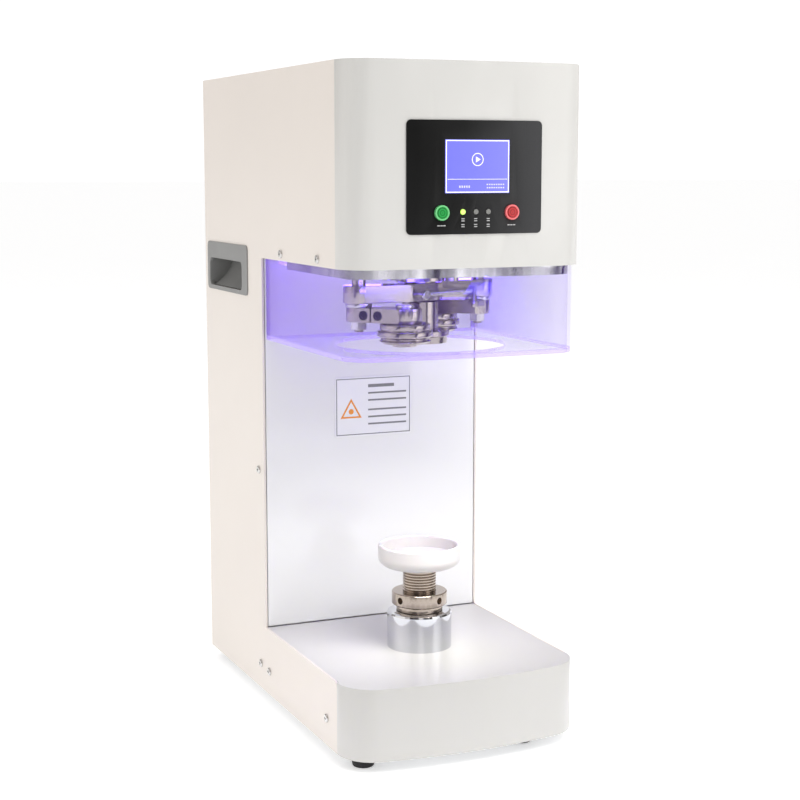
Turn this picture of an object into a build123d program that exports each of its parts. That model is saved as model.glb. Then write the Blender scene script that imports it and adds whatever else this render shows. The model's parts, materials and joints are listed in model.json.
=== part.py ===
"""Desktop can seaming machine with a fixed can, a circling seaming head and a lifting tray.

Millimetres. +Z is up and the front faces -Y. The origin is on the table, at the middle of the
outer size, and the can stands on the vertical axis through (0, can_axis_y).
"""
from build123d import *
from math import acos, atan2, cos, degrees, dist, pi, radians, sin, sqrt
import os

os.makedirs("parts", exist_ok=True)

# ---------------------------------------------------------------- driving dimensions
machine_width = 220.0
machine_height = 588.5
sheet = 2.0  # thickness of the painted sheets
panel_gap = 0.8  # shadow gap round the column front panel
seam_gap = 0.2  # between a cover and the sheet beside it
rear_face_y = 196.0
column_front_y = 22.7
can_axis_y = -85.5

base_bottom_z = 10.0
base_top_z = 73.0
base_front_y = -187.5
base_bulge = 12.3
base_radius = 33.5

head_bottom_z = 421.0
head_front_y = -187.1
head_bulge = 5.6
head_radius = 27.8

foot_radius = 11.5
foot_bottom_radius = 9.0
front_feet_x = (-89.0, 62.0)
rear_feet_x = (-85.0, 85.0)
front_feet_y = -167.0
rear_feet_y = 170.0

fit = 0.05  # radial clearance of a running fit
clear = 0.3  # clearance of pieces that never touch

base_plate_thick = 3.0
head_plate_thick = 12.0
polished_step = 8.0  # depth of the polished part of the head plate
polished_back_y = -25.0
head_plate_back_y = 58.0
housing_screw_radius = 2.0
housing_screw_head = 3.8

guard_inset = 4.0
guard_bottom_z = 346.0
guard_thick = 3.0
guard_hole_radius = 76.0

# turning parts on the can axis
chuck_shaft_radius = 8.0
chuck_boss_radius = 16.0
chuck_rim_radius = 26.0
chuck_bottom_z = 350.0
spindle_radius = 14.0
cam_sleeve_radius = 18.0
bearing_radius = 30.0
bearing_thick = 10.0
housing_radius = 38.0
housing_top_z = 492.0
cam_pulley_z = 498.0
spindle_pulley_z = 515.0
pulley_width = 12.0
bridge_z = 536.0
bridge_thick = 8.0
bridge_post_x = 70.0
bridge_post_radius = 6.0
tooth_pitch = 3.0
cam_pulley_teeth = 58
spindle_pulley_teeth = 60
motor_pulley_teeth = 20
motor_y = 12.0
motor_radius = 40.0
motor_shaft_radius = 6.0
motor_height = 56.0
belt_thick = 1.8
belt_width = 9.0

# carrier, arms and rollers; plan places are from the can axis
carrier_bottom_z = 388.0
carrier_top_z = 403.0
cam_bottom_z = 404.5
cam_top_z = 408.0
crank_bottom_z = 408.4
crank_top_z = 411.6
crank_end_radius = 5.0
follower_pin_radius = 2.5
cam_low_radius = 22.0
cam_lift = 7.0
cam_dwell_angle = 116.0  # how far the lobes stand behind the followers at rest
pivot_circle_radius = 67.65
pivot_angle = 194.8
roller_circle_radius = 57.6
roller_angle = 232.9
pivot_pin_radius = 6.0
pivot_boss_radius = 13.5
arm_bottom_z = 372.0
arm_top_z = 384.4
arm_pivot_radius = 9.0
arm_roller_radius = 14.5
slit_share = 0.36  # clamp slit's place along the arm, from the pivot
slit_width = 1.2
slit_start = 4.0  # from the arm's middle line
follower_angle = 150.0
follower_radius = 6.0
pin_thread_step = 2.0  # the pivot pin is this much slimmer where its nut screws on
nut_wall = 2.5  # from the thread to the nut's flats
pin_thread_radius = pivot_pin_radius - pin_thread_step
nut_across_flats = 2 * (pin_thread_radius + nut_wall)
nut_height = 7.0
pin_end = 2.0  # thread showing below the nut
roller_radius = 23.7
roller_bottom_z = 352.0
roller_top_z = 371.7
roller_pin_radius = 5.0
spring_radius = 2.3
spring_z = 394.0

# lift
sleeve_radius = 29.2
sleeve_top_z = 106.3
sleeve_spigot_radius = 22.0
bush_radius = 19.0
lift_rod_radius = 15.0
lift_rod_bottom_z = 40.0
neck_radius = 21.0
neck_height = 5.4
lock_ring_radius = 25.0
lock_ring_height = 12.0
spanner_hole_radius = 3.0
post_radius = 15.0
thread_pitch = 2.5
thread_depth = 1.0
tray_radius = 37.25
tray_bottom_radius = 22.6
tray_bottom_z = 146.0
tray_height = 21.0
tray_wall = 3.65
tray_recess_radius = tray_radius - tray_wall
tray_floor_z = 156.0
lift_screw_radius = 6.0
lift_frame_bottom_z = base_bottom_z + base_plate_thick
lift_frame_top_z = 61.0
lift_frame_plate = 5.0
lift_frame_x = 45.0
lift_frame_y = 30.0

# control panel
panel_x = 1.2
panel_width = 122.6
panel_height = 92.0
panel_z = 495.0
panel_proud = 1.2
panel_corner = 4.0
screen_x = 2.6
screen_z = 503.8
screen_width = 58.0
screen_height = 43.0
button_radius = 6.2
button_z = 466.5
start_x = -29.8
stop_x = 34.0
button_proud = 2.2
button_stem = 9.0
lamp_radius = 2.1
lamp_xs = (-10.6, 1.1, 12.4)
lamp_z = 467.1

# side grips, at both sides of the column
grip_front_y = 62.0
grip_back_y = 185.6
grip_bottom_z = 383.5
grip_top_z = 430.5
grip_flange = 1.0  # how far the flange stands out of the side
grip_rim = 4.0  # flange width outside the cut-out
grip_depth = 28.0
grip_wall = 2.5
grip_lip = 3.0  # thickness of the face round the mouth
pocket_bow = 6.0  # how far the pocket's curved back swells from a straight slope
grip_mouth_front_y = 78.0
grip_mouth_back_y = 178.0
grip_mouth_bottom_z = 387.5
grip_mouth_top_z = 414.5

warning_width = 79.0
warning_height = 57.0
warning_x = 0.5
warning_z = 278.3
warning_thick = 0.5

# ---------------------------------------------------------------- derived places
half_width = machine_width / 2
inner_half = half_width - sheet
can_axis = (0, can_axis_y)
head_plate_top_z = head_bottom_z + head_plate_thick
polished_bottom_z = head_bottom_z - polished_step
neck_bottom_z = sleeve_top_z + clear
neck_top_z = neck_bottom_z + neck_height
ring_bottom_z = neck_top_z + 0.2
tray_top_z = tray_bottom_z + tray_height
column_frame_top_z = head_bottom_z
guard_half = half_width - guard_inset
screw_bore_radius = lift_screw_radius + fit
power_inlet_z = 60.0


def around_axis(radius, angle):
    """Plan point at a radius and angle from the can axis."""
    return (radius * cos(radians(angle)), can_axis_y + radius * sin(radians(angle)))


def finish(piece, name):
    """Label one finished piece and write its file."""
    piece.part.label = name
    export_step(piece.part, f"parts/{name}.step")


def front_outline(front_y, bulge, radius, back_y, half):
    """Plan outline with square rear corners and a rounded, slightly bowed front."""
    with BuildSketch() as outline:
        with BuildLine():
            Polyline((half, front_y), (half, back_y), (-half, back_y), (-half, front_y))
            ThreePointArc((-half, front_y), (0, front_y - bulge), (half, front_y))
        make_face()
        fillet(outline.vertices().group_by(Axis.Y)[0], radius)
    return outline.sketch


def bow_radius(bulge):
    """Radius of the arc that bows out by the given amount over the whole width."""
    return (half_width**2 + bulge**2) / (2 * bulge)


def front_face_y(x):
    """Outer face of the head front at a distance x from the middle."""
    bow = bow_radius(head_bulge)
    return head_front_y - head_bulge + bow - sqrt(bow**2 - x**2)


def corner_centre_y(front_y, bulge, radius):
    """Where a rounded front corner begins on the side."""
    bow = bow_radius(bulge)
    return front_y - bulge + bow - sqrt((bow - radius) ** 2 - (half_width - radius) ** 2)


def inset_outline(outline, inset, back_y):
    """The outline moved in by an inset and cut off square at the back."""
    with BuildSketch() as inner:
        add(outline)
        offset(amount=-inset, kind=Kind.INTERSECTION, mode=Mode.REPLACE)
        with Locations((0, back_y)):
            Rectangle(
                2 * machine_width,
                2 * machine_width,
                align=(Align.CENTER, Align.MIN),
                mode=Mode.SUBTRACT,
            )
    return inner.sketch


def wall_section(outline, inset, thickness, back_y):
    """Plan section of a sheet that follows the front of an outline."""
    outer = inset_outline(outline, inset, back_y)
    inner = inset_outline(outline, inset + thickness, back_y + 1)
    with BuildSketch() as section:
        add(outer)
        add(inner, mode=Mode.SUBTRACT)
    return section.sketch


head_outline = front_outline(head_front_y, head_bulge, head_radius, rear_face_y, half_width)
base_outline = front_outline(base_front_y, base_bulge, base_radius, rear_face_y, half_width)
head_seam_y = corner_centre_y(head_front_y, head_bulge, head_radius)
base_seam_y = corner_centre_y(base_front_y, base_bulge, base_radius)

# ---------------------------------------------------------------- housing screws
side_screw_places = [
    (-30.6, head_bottom_z + 6.2),
    (-121.7, head_bottom_z + 6.2),
    (column_front_y + 13.5, 222.3),
    (column_front_y + 13.5, 34.6),
    (12.2, 33.1),
    (-136.4, 34.6),
]


def side_panel(plane):
    """C-shaped side sheet on its outer plane, with screw holes and the grip's cut-out."""
    with BuildPart() as panel:
        with BuildSketch(plane):
            with BuildLine():
                Polyline(
                    (head_seam_y, head_bottom_z),
                    (head_seam_y, machine_height),
                    (rear_face_y, machine_height),
                    (rear_face_y, base_bottom_z),
                    (base_seam_y, base_bottom_z),
                    (base_seam_y, base_top_z),
                    (column_front_y, base_top_z),
                    (column_front_y, head_bottom_z),
                    close=True,
                )
            outline = make_face()
            fillet(outline.vertices().sort_by_distance((plane.origin.X, rear_face_y, base_bottom_z))[0], 6)
            with Locations(*side_screw_places):
                Circle(housing_screw_radius + clear, mode=Mode.SUBTRACT)
            with Locations(((grip_front_y + grip_back_y) / 2, (grip_bottom_z + grip_top_z) / 2)):
                RectangleRounded(
                    grip_back_y - grip_front_y - 2 * grip_rim + 2 * clear,
                    grip_top_z - grip_bottom_z - 2 * grip_rim + 2 * clear,
                    3,
                    mode=Mode.SUBTRACT,
                )
        extrude(amount=sheet)
    return panel


left_side_panel = side_panel(Plane.YZ.offset(-half_width))
finish(left_side_panel, "left_side_panel")
right_side_panel = side_panel(Plane.YZ.offset(half_width - sheet))
finish(right_side_panel, "right_side_panel")

with BuildPart() as housing_screws:
    for side, plane in ((-1, Plane.YZ.offset(-half_width)), (1, Plane.YZ.offset(half_width))):
        with BuildSketch(plane):
            with Locations(*side_screw_places):
                Circle(housing_screw_head)
        extrude(amount=side * 1.8)
        fillet(housing_screws.edges().filter_by(GeomType.CIRCLE).group_by(Axis.X)[0 if side < 0 else -1], 1.3)
        with BuildSketch(plane):
            with Locations(*side_screw_places):
                Circle(housing_screw_radius)
        extrude(amount=-side * (sheet + 1.5))
        with BuildSketch(plane.offset(side * 1.8)):
            with Locations(*side_screw_places):
                Rectangle(3.6, 0.9)
                Rectangle(0.9, 3.6)
        extrude(amount=-side * 1.0, mode=Mode.SUBTRACT)
finish(housing_screws, "housing_screws")

# ---------------------------------------------------------------- covers
head_wrap = wall_section(head_outline, 0, sheet, head_seam_y)
with BuildPart() as head_front_cover:
    with BuildSketch(Plane.XY.offset(head_bottom_z)):
        add(head_wrap)
    extrude(amount=machine_height - head_bottom_z)
    with BuildSketch(Plane.XZ.offset(-head_front_y - 10)):
        with Locations((screen_x, screen_z)):
            Rectangle(screen_width + 2 * clear, screen_height + 2 * clear)
        with Locations((start_x, button_z), (stop_x, button_z)):
            Circle(button_radius + clear)
        with Locations(*[(x, lamp_z) for x in lamp_xs]):
            Circle(lamp_radius + clear)
    extrude(amount=30, mode=Mode.SUBTRACT)
finish(head_front_cover, "head_front_cover")

base_wrap = wall_section(base_outline, 0, sheet, base_seam_y)
with BuildPart() as base_front_cover:
    with BuildSketch(Plane.XY.offset(base_bottom_z)):
        add(base_wrap)
    extrude(amount=base_top_z - base_bottom_z)
    with BuildSketch(Plane.XY.offset(base_top_z - sheet)):
        add(base_outline)
        with Locations((0, base_seam_y)):
            Rectangle(machine_width, 2 * machine_width, align=(Align.CENTER, Align.MIN), mode=Mode.SUBTRACT)
        with Locations((0, base_seam_y)):
            Rectangle(
                2 * (inner_half - seam_gap),
                column_front_y - base_seam_y,
                align=(Align.CENTER, Align.MIN),
            )
        with Locations(can_axis):
            Circle(sleeve_spigot_radius + clear, mode=Mode.SUBTRACT)
    extrude(amount=sheet)
finish(base_front_cover, "base_front_cover")

with BuildPart() as top_cover:
    with BuildSketch(Plane.XY.offset(machine_height - sheet)):
        add(head_outline)
        offset(amount=-(sheet + seam_gap), kind=Kind.INTERSECTION, mode=Mode.REPLACE)
    extrude(amount=sheet)
finish(top_cover, "top_cover")

with BuildPart() as column_front_panel:
    with BuildSketch(Plane.XY.offset(base_top_z + panel_gap)):
        with Locations((0, column_front_y)):
            Rectangle(2 * (inner_half - panel_gap), sheet, align=(Align.CENTER, Align.MIN))
    extrude(amount=head_bottom_z - base_top_z - 2 * panel_gap)
finish(column_front_panel, "column_front_panel")

with BuildPart() as rear_cover:
    with BuildSketch(Plane.XZ.offset(-rear_face_y)):
        with Locations((0, (base_bottom_z + base_plate_thick + machine_height - sheet) / 2)):
            Rectangle(
                2 * (inner_half - seam_gap),
                machine_height - sheet - base_bottom_z - base_plate_thick - 2 * seam_gap,
            )
        with Locations((0, 530)):
            with GridLocations(34, 9, 5, 7):
                SlotOverall(24, 4, mode=Mode.SUBTRACT)
        with Locations((0, 180)):
            with GridLocations(34, 9, 5, 7):
                SlotOverall(24, 4, mode=Mode.SUBTRACT)
        with Locations((0, power_inlet_z)):
            Rectangle(28 + 2 * clear, 47 + 2 * clear, mode=Mode.SUBTRACT)
    extrude(amount=sheet)
finish(rear_cover, "rear_cover")

with BuildPart() as warning_plate:
    with BuildSketch(Plane.XZ.offset(-column_front_y)):
        with Locations((warning_x, warning_z)):
            RectangleRounded(warning_width, warning_height, 3)
    extrude(amount=warning_thick)
finish(warning_plate, "warning_plate")

# ---------------------------------------------------------------- frame
with BuildPart() as base_plate:
    with BuildSketch(Plane.XY.offset(base_bottom_z)):
        add(base_outline)
        offset(amount=-(sheet + seam_gap), kind=Kind.INTERSECTION, mode=Mode.REPLACE)
        with Locations((0, -100), (0, 110)):
            with GridLocations(40, 10, 4, 5):
                SlotOverall(24, 4, mode=Mode.SUBTRACT)
    extrude(amount=base_plate_thick)
finish(base_plate, "base_plate")

foot_places = [(x, front_feet_y) for x in front_feet_x] + [(x, rear_feet_y) for x in rear_feet_x]
with BuildPart() as rubber_feet:
    with Locations(*[(x, y, 0) for x, y in foot_places]):
        Cone(foot_bottom_radius, foot_radius, base_bottom_z, align=(Align.CENTER, Align.CENTER, Align.MIN))
    fillet(rubber_feet.edges().group_by(Axis.Z)[0], 1.5)
finish(rubber_feet, "rubber_feet")

column_frame_y = (column_front_y + 4, column_front_y + 29)
with BuildPart() as column_frames:
    with BuildSketch(Plane.XY.offset(base_bottom_z + base_plate_thick)):
        for side in (-1, 1):
            web_x = side * (inner_half - clear)
            with BuildLine():
                Polyline(
                    (web_x - side * 20, column_frame_y[0]),
                    (web_x, column_frame_y[0]),
                    (web_x, column_frame_y[1]),
                    (web_x - side * 20, column_frame_y[1]),
                    (web_x - side * 20, column_frame_y[1] - 2.5),
                    (web_x - side * 2.5, column_frame_y[1] - 2.5),
                    (web_x - side * 2.5, column_frame_y[0] + 2.5),
                    (web_x - side * 20, column_frame_y[0] + 2.5),
                    close=True,
                )
            make_face()
    extrude(amount=column_frame_top_z - base_bottom_z - base_plate_thick)
    for side in (-1, 1):
        with BuildSketch(Plane.YZ.offset(side * half_width)):
            with Locations(*side_screw_places[2:4]):
                Circle(housing_screw_radius + clear)
        extrude(amount=-side * 10, mode=Mode.SUBTRACT)
finish(column_frames, "column_frames")

plate_outline = inset_outline(head_outline, sheet + clear, head_plate_back_y)
polished_outline = inset_outline(head_outline, guard_inset + guard_thick + clear, polished_back_y)
with BuildPart() as head_plate:
    with BuildSketch(Plane.XY.offset(head_bottom_z)):
        add(plate_outline)
    extrude(amount=head_plate_thick)
    with BuildSketch(Plane.XY.offset(polished_bottom_z)):
        add(polished_outline)
    extrude(amount=polished_step)
    with BuildSketch(Plane.XY.offset(polished_bottom_z)):
        with Locations(can_axis):
            Circle(cam_sleeve_radius + 1)
    extrude(amount=polished_step + head_plate_thick, mode=Mode.SUBTRACT)
    for side in (-1, 1):
        with BuildSketch(Plane.YZ.offset(side * half_width)):
            with Locations(*side_screw_places[:2]):
                Circle(housing_screw_radius + clear)
        extrude(amount=-side * 10, mode=Mode.SUBTRACT)
finish(head_plate, "head_plate")

# ---------------------------------------------------------------- guard and light
guard_back_y = column_front_y - clear
guard_outline = inset_outline(head_outline, guard_inset, guard_back_y)
guard_section = wall_section(head_outline, guard_inset, guard_thick, guard_back_y)
with BuildPart() as guard_wall:
    with BuildSketch(Plane.XY.offset(guard_bottom_z + guard_thick)):
        add(guard_section)
    extrude(amount=head_bottom_z - guard_bottom_z - guard_thick)
finish(guard_wall, "guard_wall")

with BuildPart() as guard_floor:
    with BuildSketch(Plane.XY.offset(guard_bottom_z)):
        add(guard_outline)
        with Locations(can_axis):
            Circle(guard_hole_radius, mode=Mode.SUBTRACT)
    extrude(amount=guard_thick)
finish(guard_floor, "guard_floor")

with BuildPart() as led_strip:
    with BuildSketch(Plane.XY.offset(head_bottom_z - 5)):
        with Locations((0, 2)):
            Rectangle(2 * (guard_half - guard_thick) - 8, 12)
    extrude(amount=5)
finish(led_strip, "led_strip")


# ---------------------------------------------------------------- side grips
def side_grip(side):
    """Recessed grip: a flanged cup whose curved back runs in and up behind its upper lip."""
    plane = Plane.YZ.offset(side * half_width)
    middle = ((grip_front_y + grip_back_y) / 2, (grip_bottom_z + grip_top_z) / 2)
    length = grip_back_y - grip_front_y
    height = grip_top_z - grip_bottom_z
    mouth_y = (grip_mouth_front_y + grip_mouth_back_y) / 2
    mouth_z = (grip_mouth_bottom_z + grip_mouth_top_z) / 2
    mouth_length = grip_mouth_back_y - grip_mouth_front_y
    mouth_height = grip_mouth_top_z - grip_mouth_bottom_z
    with BuildPart() as grip:
        with BuildSketch(plane):
            with Locations(middle):
                RectangleRounded(length, height, 5)
        extrude(amount=side * grip_flange)
        with BuildSketch(plane):
            with Locations(middle):
                RectangleRounded(length - 2 * grip_rim, height - 2 * grip_rim, 3)
        extrude(amount=-side * grip_depth)
        with BuildSketch(plane.offset(side * grip_flange)):
            with Locations((mouth_y, mouth_z)):
                RectangleRounded(mouth_length, mouth_height, 5)
        extrude(amount=-side * (grip_flange + grip_lip), mode=Mode.SUBTRACT)
        face_x = side * (half_width - grip_lip)
        back_x = side * (half_width - grip_depth + grip_wall)
        pocket_top_z = grip_top_z - grip_rim - grip_wall
        with BuildSketch(Plane.XZ.offset(-mouth_y)):
            with BuildLine():
                low_corner = (face_x, grip_mouth_bottom_z)
                high_corner = (back_x, pocket_top_z)
                direct = Vector(*high_corner) - Vector(*low_corner)
                bow = Vector(side * direct.Y, -side * direct.X) * (pocket_bow / direct.length)
                half_way = (Vector(*low_corner) + Vector(*high_corner)) / 2
                ThreePointArc(low_corner, half_way - bow, high_corner)
                Polyline(high_corner, (face_x, pocket_top_z), low_corner)
            make_face()
        extrude(amount=mouth_length / 2, both=True, mode=Mode.SUBTRACT)
    return grip


left_side_grip = side_grip(-1)
finish(left_side_grip, "left_side_grip")
right_side_grip = side_grip(1)
finish(right_side_grip, "right_side_grip")

# ---------------------------------------------------------------- control panel
with BuildSketch() as panel_section:
    add(inset_outline(head_outline, -panel_proud, 0))
    add(head_outline, mode=Mode.SUBTRACT)
    with Locations((panel_x, head_front_y)):
        Rectangle(panel_width, 2 * head_radius, mode=Mode.INTERSECT)

with BuildPart() as control_panel:
    with BuildSketch(Plane.XY.offset(panel_z - panel_height / 2)):
        add(panel_section.sketch)
    extrude(amount=panel_height)
    corner_edges = control_panel.edges().filter_by(GeomType.LINE).filter_by(lambda edge: edge.length < 3)
    fillet(corner_edges, panel_corner)
    with BuildSketch(Plane.XZ.offset(-head_front_y - 10)):
        with Locations((screen_x, screen_z)):
            Rectangle(screen_width + 2 * clear, screen_height + 2 * clear)
        with Locations((start_x, button_z), (stop_x, button_z)):
            Circle(button_radius + clear)
        with Locations(*[(x, lamp_z) for x in lamp_xs]):
            Circle(lamp_radius + clear)
    extrude(amount=30, mode=Mode.SUBTRACT)
finish(control_panel, "control_panel")

display_face_y = front_face_y(0) - panel_proud + 0.4
with BuildPart() as display:
    with BuildSketch(Plane.XZ.offset(-display_face_y)):
        with Locations((screen_x, screen_z)):
            Rectangle(screen_width, screen_height)
    extrude(amount=-8)
finish(display, "display")


def push_button(x):
    """Round push button with a stepped ring round its face."""
    face_y = front_face_y(x) - panel_proud - button_proud
    with BuildPart() as button:
        with BuildSketch(Plane.XZ.offset(-face_y)):
            with Locations((x, button_z)):
                Circle(button_radius)
        extrude(amount=-(button_proud + panel_proud + button_stem))
        with BuildSketch(Plane.XZ.offset(-face_y)):
            with Locations((x, button_z)):
                Circle(button_radius - 1.2)
                Circle(button_radius - 2.2, mode=Mode.SUBTRACT)
        extrude(amount=-0.5, mode=Mode.SUBTRACT)
    return button


start_button = push_button(start_x)
finish(start_button, "start_button")
stop_button = push_button(stop_x)
finish(stop_button, "stop_button")

with BuildPart() as indicator_lamps:
    for x in lamp_xs:
        lamp_face_y = front_face_y(x) - panel_proud - 0.5
        with BuildSketch(Plane.XZ.offset(-lamp_face_y)):
            with Locations((x, lamp_z)):
                Circle(lamp_radius)
        extrude(amount=-10)
finish(indicator_lamps, "indicator_lamps")

board_y = front_face_y(0) + 20
board_thick = 1.6
board_width = 120.0
board_height = 80.0
with BuildPart() as control_board:
    with BuildSketch(Plane.XZ.offset(-board_y)):
        with Locations((0, panel_z)):
            Rectangle(board_width, board_height)
    extrude(amount=-board_thick)
    with BuildSketch(Plane.XZ.offset(-board_y - board_thick)):
        with Locations((-35, panel_z + 20), (-10, panel_z + 20), (15, panel_z + 20)):
            Rectangle(16, 20)
        with Locations((-30, panel_z - 18), (38, panel_z - 18)):
            Rectangle(34, 14)
        with Locations((42, panel_z + 20)):
            Circle(9)
    extrude(amount=-14)
    standoff_x = board_width / 2 - 6
    standoff_reach = board_y - front_face_y(standoff_x) - sheet - clear
    with BuildSketch(Plane.XZ.offset(-board_y)):
        with Locations((0, panel_z)):
            with GridLocations(2 * standoff_x, board_height - 12, 2, 2):
                Circle(3)
    extrude(amount=standoff_reach)
finish(control_board, "control_board")

supply_size = (92.0, 36.0, 160.0)
supply_bottom_z = 205.0
with BuildPart() as power_supply:
    with BuildSketch(Plane.XY.offset(supply_bottom_z)):
        with Locations((0, rear_face_y - sheet - seam_gap)):
            Rectangle(supply_size[0], supply_size[1], align=(Align.CENTER, Align.MAX))
    extrude(amount=supply_size[2])
    with BuildSketch(Plane.XZ.offset(-(rear_face_y - sheet - seam_gap - supply_size[1]))):
        with Locations((0, supply_bottom_z + supply_size[2] / 2)):
            with GridLocations(12, 12, 6, 10):
                Circle(3)
    extrude(amount=-3, mode=Mode.SUBTRACT)
finish(power_supply, "power_supply")

# ---------------------------------------------------------------- power inlet and switch
inlet_body = (28.0, 47.0)
inlet_flange = 2.5
socket_size = (24.0, 17.0)
socket_z = power_inlet_z - 11.0
switch_z = power_inlet_z + 13.5
switch_size = (20.0, 13.0)
switch_gap = 1.2  # room round the rocker for its tilt
rocker_pin_radius = 1.0
rocker_pivot_y = rear_face_y - 1.0
rocker_tilt = 7.0
with BuildPart() as power_inlet:
    with BuildSketch(Plane.XZ.offset(-rear_face_y)):
        with Locations((0, power_inlet_z)):
            RectangleRounded(inlet_body[0] + 5, inlet_body[1] + 5, 3)
    extrude(amount=-inlet_flange)
    with BuildSketch(Plane.XZ.offset(-rear_face_y)):
        with Locations((0, power_inlet_z)):
            Rectangle(*inlet_body)
    extrude(amount=24)
    with BuildSketch(Plane.XZ.offset(-rear_face_y - inlet_flange)):
        with Locations((0, socket_z)):
            Rectangle(*socket_size)
    extrude(amount=16 + inlet_flange, mode=Mode.SUBTRACT)
    with BuildSketch(Plane.XZ.offset(-rear_face_y + 16)):
        with Locations((-7, socket_z - 2), (7, socket_z - 2), (0, socket_z + 2)):
            Rectangle(2, 4)
    extrude(amount=-10)
    with BuildSketch(Plane.XZ.offset(-rear_face_y - inlet_flange)):
        with Locations((0, switch_z)):
            Rectangle(switch_size[0] + 2 * clear, switch_size[1] + 2 * switch_gap)
    extrude(amount=10 + inlet_flange, mode=Mode.SUBTRACT)
    with BuildSketch(Plane.YZ.offset(-switch_size[0] / 2 - 1.5)):
        with Locations((rocker_pivot_y, switch_z)):
            Circle(rocker_pin_radius + fit)
    extrude(amount=switch_size[0] + 3, mode=Mode.SUBTRACT)
finish(power_inlet, "power_inlet")

with BuildPart() as power_rocker:
    rocker_half = switch_size[1] / 2
    rocker_points = [(-2, -rocker_half), (3.4, -rocker_half), (4.6, 0), (3.4, rocker_half), (-2, rocker_half)]
    rocker_plane = Plane(
        origin=(-switch_size[0] / 2, rocker_pivot_y, switch_z),
        x_dir=(0, cos(radians(rocker_tilt)), sin(radians(rocker_tilt))),
        z_dir=(1, 0, 0),
    )
    with BuildSketch(rocker_plane):
        with BuildLine():
            Polyline(*rocker_points, close=True)
        make_face()
    extrude(amount=switch_size[0])
    with BuildSketch(Plane.YZ.offset(-switch_size[0] / 2 - 1.2)):
        with Locations((rocker_pivot_y, switch_z)):
            Circle(rocker_pin_radius)
    extrude(amount=switch_size[0] + 2.4)
finish(power_rocker, "power_rocker")

# ---------------------------------------------------------------- head drive, turning on the can axis
can_line = Axis((0, can_axis_y, 0), (0, 0, 1))


def turned(points, name):
    """Round piece on the can axis, from its half profile as (radius, height) points."""
    with BuildPart() as piece:
        with BuildSketch(Plane.XZ.offset(-can_axis_y)):
            with BuildLine():
                Polyline(*points, close=True)
            make_face()
        revolve(axis=can_line)
    finish(piece, name)
    return piece


def pulley_radius(teeth):
    """Pitch radius of a toothed pulley."""
    return teeth * tooth_pitch / (2 * pi)


def pulley_points(bore, radius, bottom):
    """Half profile of a flanged belt pulley."""
    flange = 1.2
    return [
        (bore, bottom),
        (radius + 2, bottom),
        (radius + 2, bottom + flange),
        (radius, bottom + flange),
        (radius, bottom + pulley_width - flange),
        (radius + 2, bottom + pulley_width - flange),
        (radius + 2, bottom + pulley_width),
        (bore, bottom + pulley_width),
    ]


lower_bearing_z = head_plate_top_z + 2
upper_bearing_z = housing_top_z - 2 - bearing_thick
turned(
    [
        (housing_radius - 16, head_plate_top_z),
        (housing_radius + 7, head_plate_top_z),
        (housing_radius + 7, head_plate_top_z + 7),
        (housing_radius, head_plate_top_z + 7),
        (housing_radius, housing_top_z),
        (bearing_radius, housing_top_z),
        (bearing_radius, upper_bearing_z),
        (bearing_radius - 3, upper_bearing_z),
        (bearing_radius - 3, lower_bearing_z + bearing_thick),
        (bearing_radius, lower_bearing_z + bearing_thick),
        (bearing_radius, lower_bearing_z),
        (housing_radius - 16, lower_bearing_z),
    ],
    "bearing_housing",
)

with BuildPart() as spindle_bearings:
    for bottom in (lower_bearing_z, upper_bearing_z):
        with BuildSketch(Plane.XY.offset(bottom)):
            with Locations(can_axis):
                Circle(bearing_radius)
                Circle(cam_sleeve_radius + fit, mode=Mode.SUBTRACT)
        extrude(amount=bearing_thick)
    for bottom in (lower_bearing_z, upper_bearing_z + bearing_thick - 0.8):
        with BuildSketch(Plane.XY.offset(bottom)):
            with Locations(can_axis):
                Circle(bearing_radius - 3)
                Circle(cam_sleeve_radius + 3, mode=Mode.SUBTRACT)
        extrude(amount=0.8, mode=Mode.SUBTRACT)
finish(spindle_bearings, "spindle_bearings")

turned(
    [
        (0, chuck_bottom_z + 3),
        (6, chuck_bottom_z + 3),
        (6, chuck_bottom_z + 11),
        (chuck_boss_radius, chuck_bottom_z + 11),
        (chuck_boss_radius, carrier_bottom_z - 2),
        (chuck_shaft_radius, carrier_bottom_z - 1),
        (chuck_shaft_radius, bridge_z + bridge_thick),
        (0, bridge_z + bridge_thick),
    ],
    "chuck_shaft",
)

turned(
    [
        (0, chuck_bottom_z + 1),
        (chuck_rim_radius - 4, chuck_bottom_z + 1),
        (chuck_rim_radius - 3, chuck_bottom_z),
        (chuck_rim_radius - 2, chuck_bottom_z),
        (chuck_rim_radius - 1.5, chuck_bottom_z + 5.5),
        (chuck_rim_radius, chuck_bottom_z + 6.5),
        (chuck_rim_radius, chuck_bottom_z + 10.5),
        (chuck_rim_radius - 0.5, chuck_bottom_z + 11),
        (6, chuck_bottom_z + 11),
        (6, chuck_bottom_z + 3),
        (0, chuck_bottom_z + 3),
    ],
    "seaming_chuck",
)

turned(
    [
        (chuck_shaft_radius + fit, carrier_bottom_z),
        (spindle_radius, carrier_bottom_z),
        (spindle_radius, spindle_pulley_z + pulley_width + 3),
        (chuck_shaft_radius + fit, spindle_pulley_z + pulley_width + 3),
    ],
    "spindle_tube",
)
spindle_pulley_radius = pulley_radius(spindle_pulley_teeth)
turned(pulley_points(spindle_radius, spindle_pulley_radius, spindle_pulley_z), "spindle_pulley")
cam_pulley_radius = pulley_radius(cam_pulley_teeth)

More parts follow.
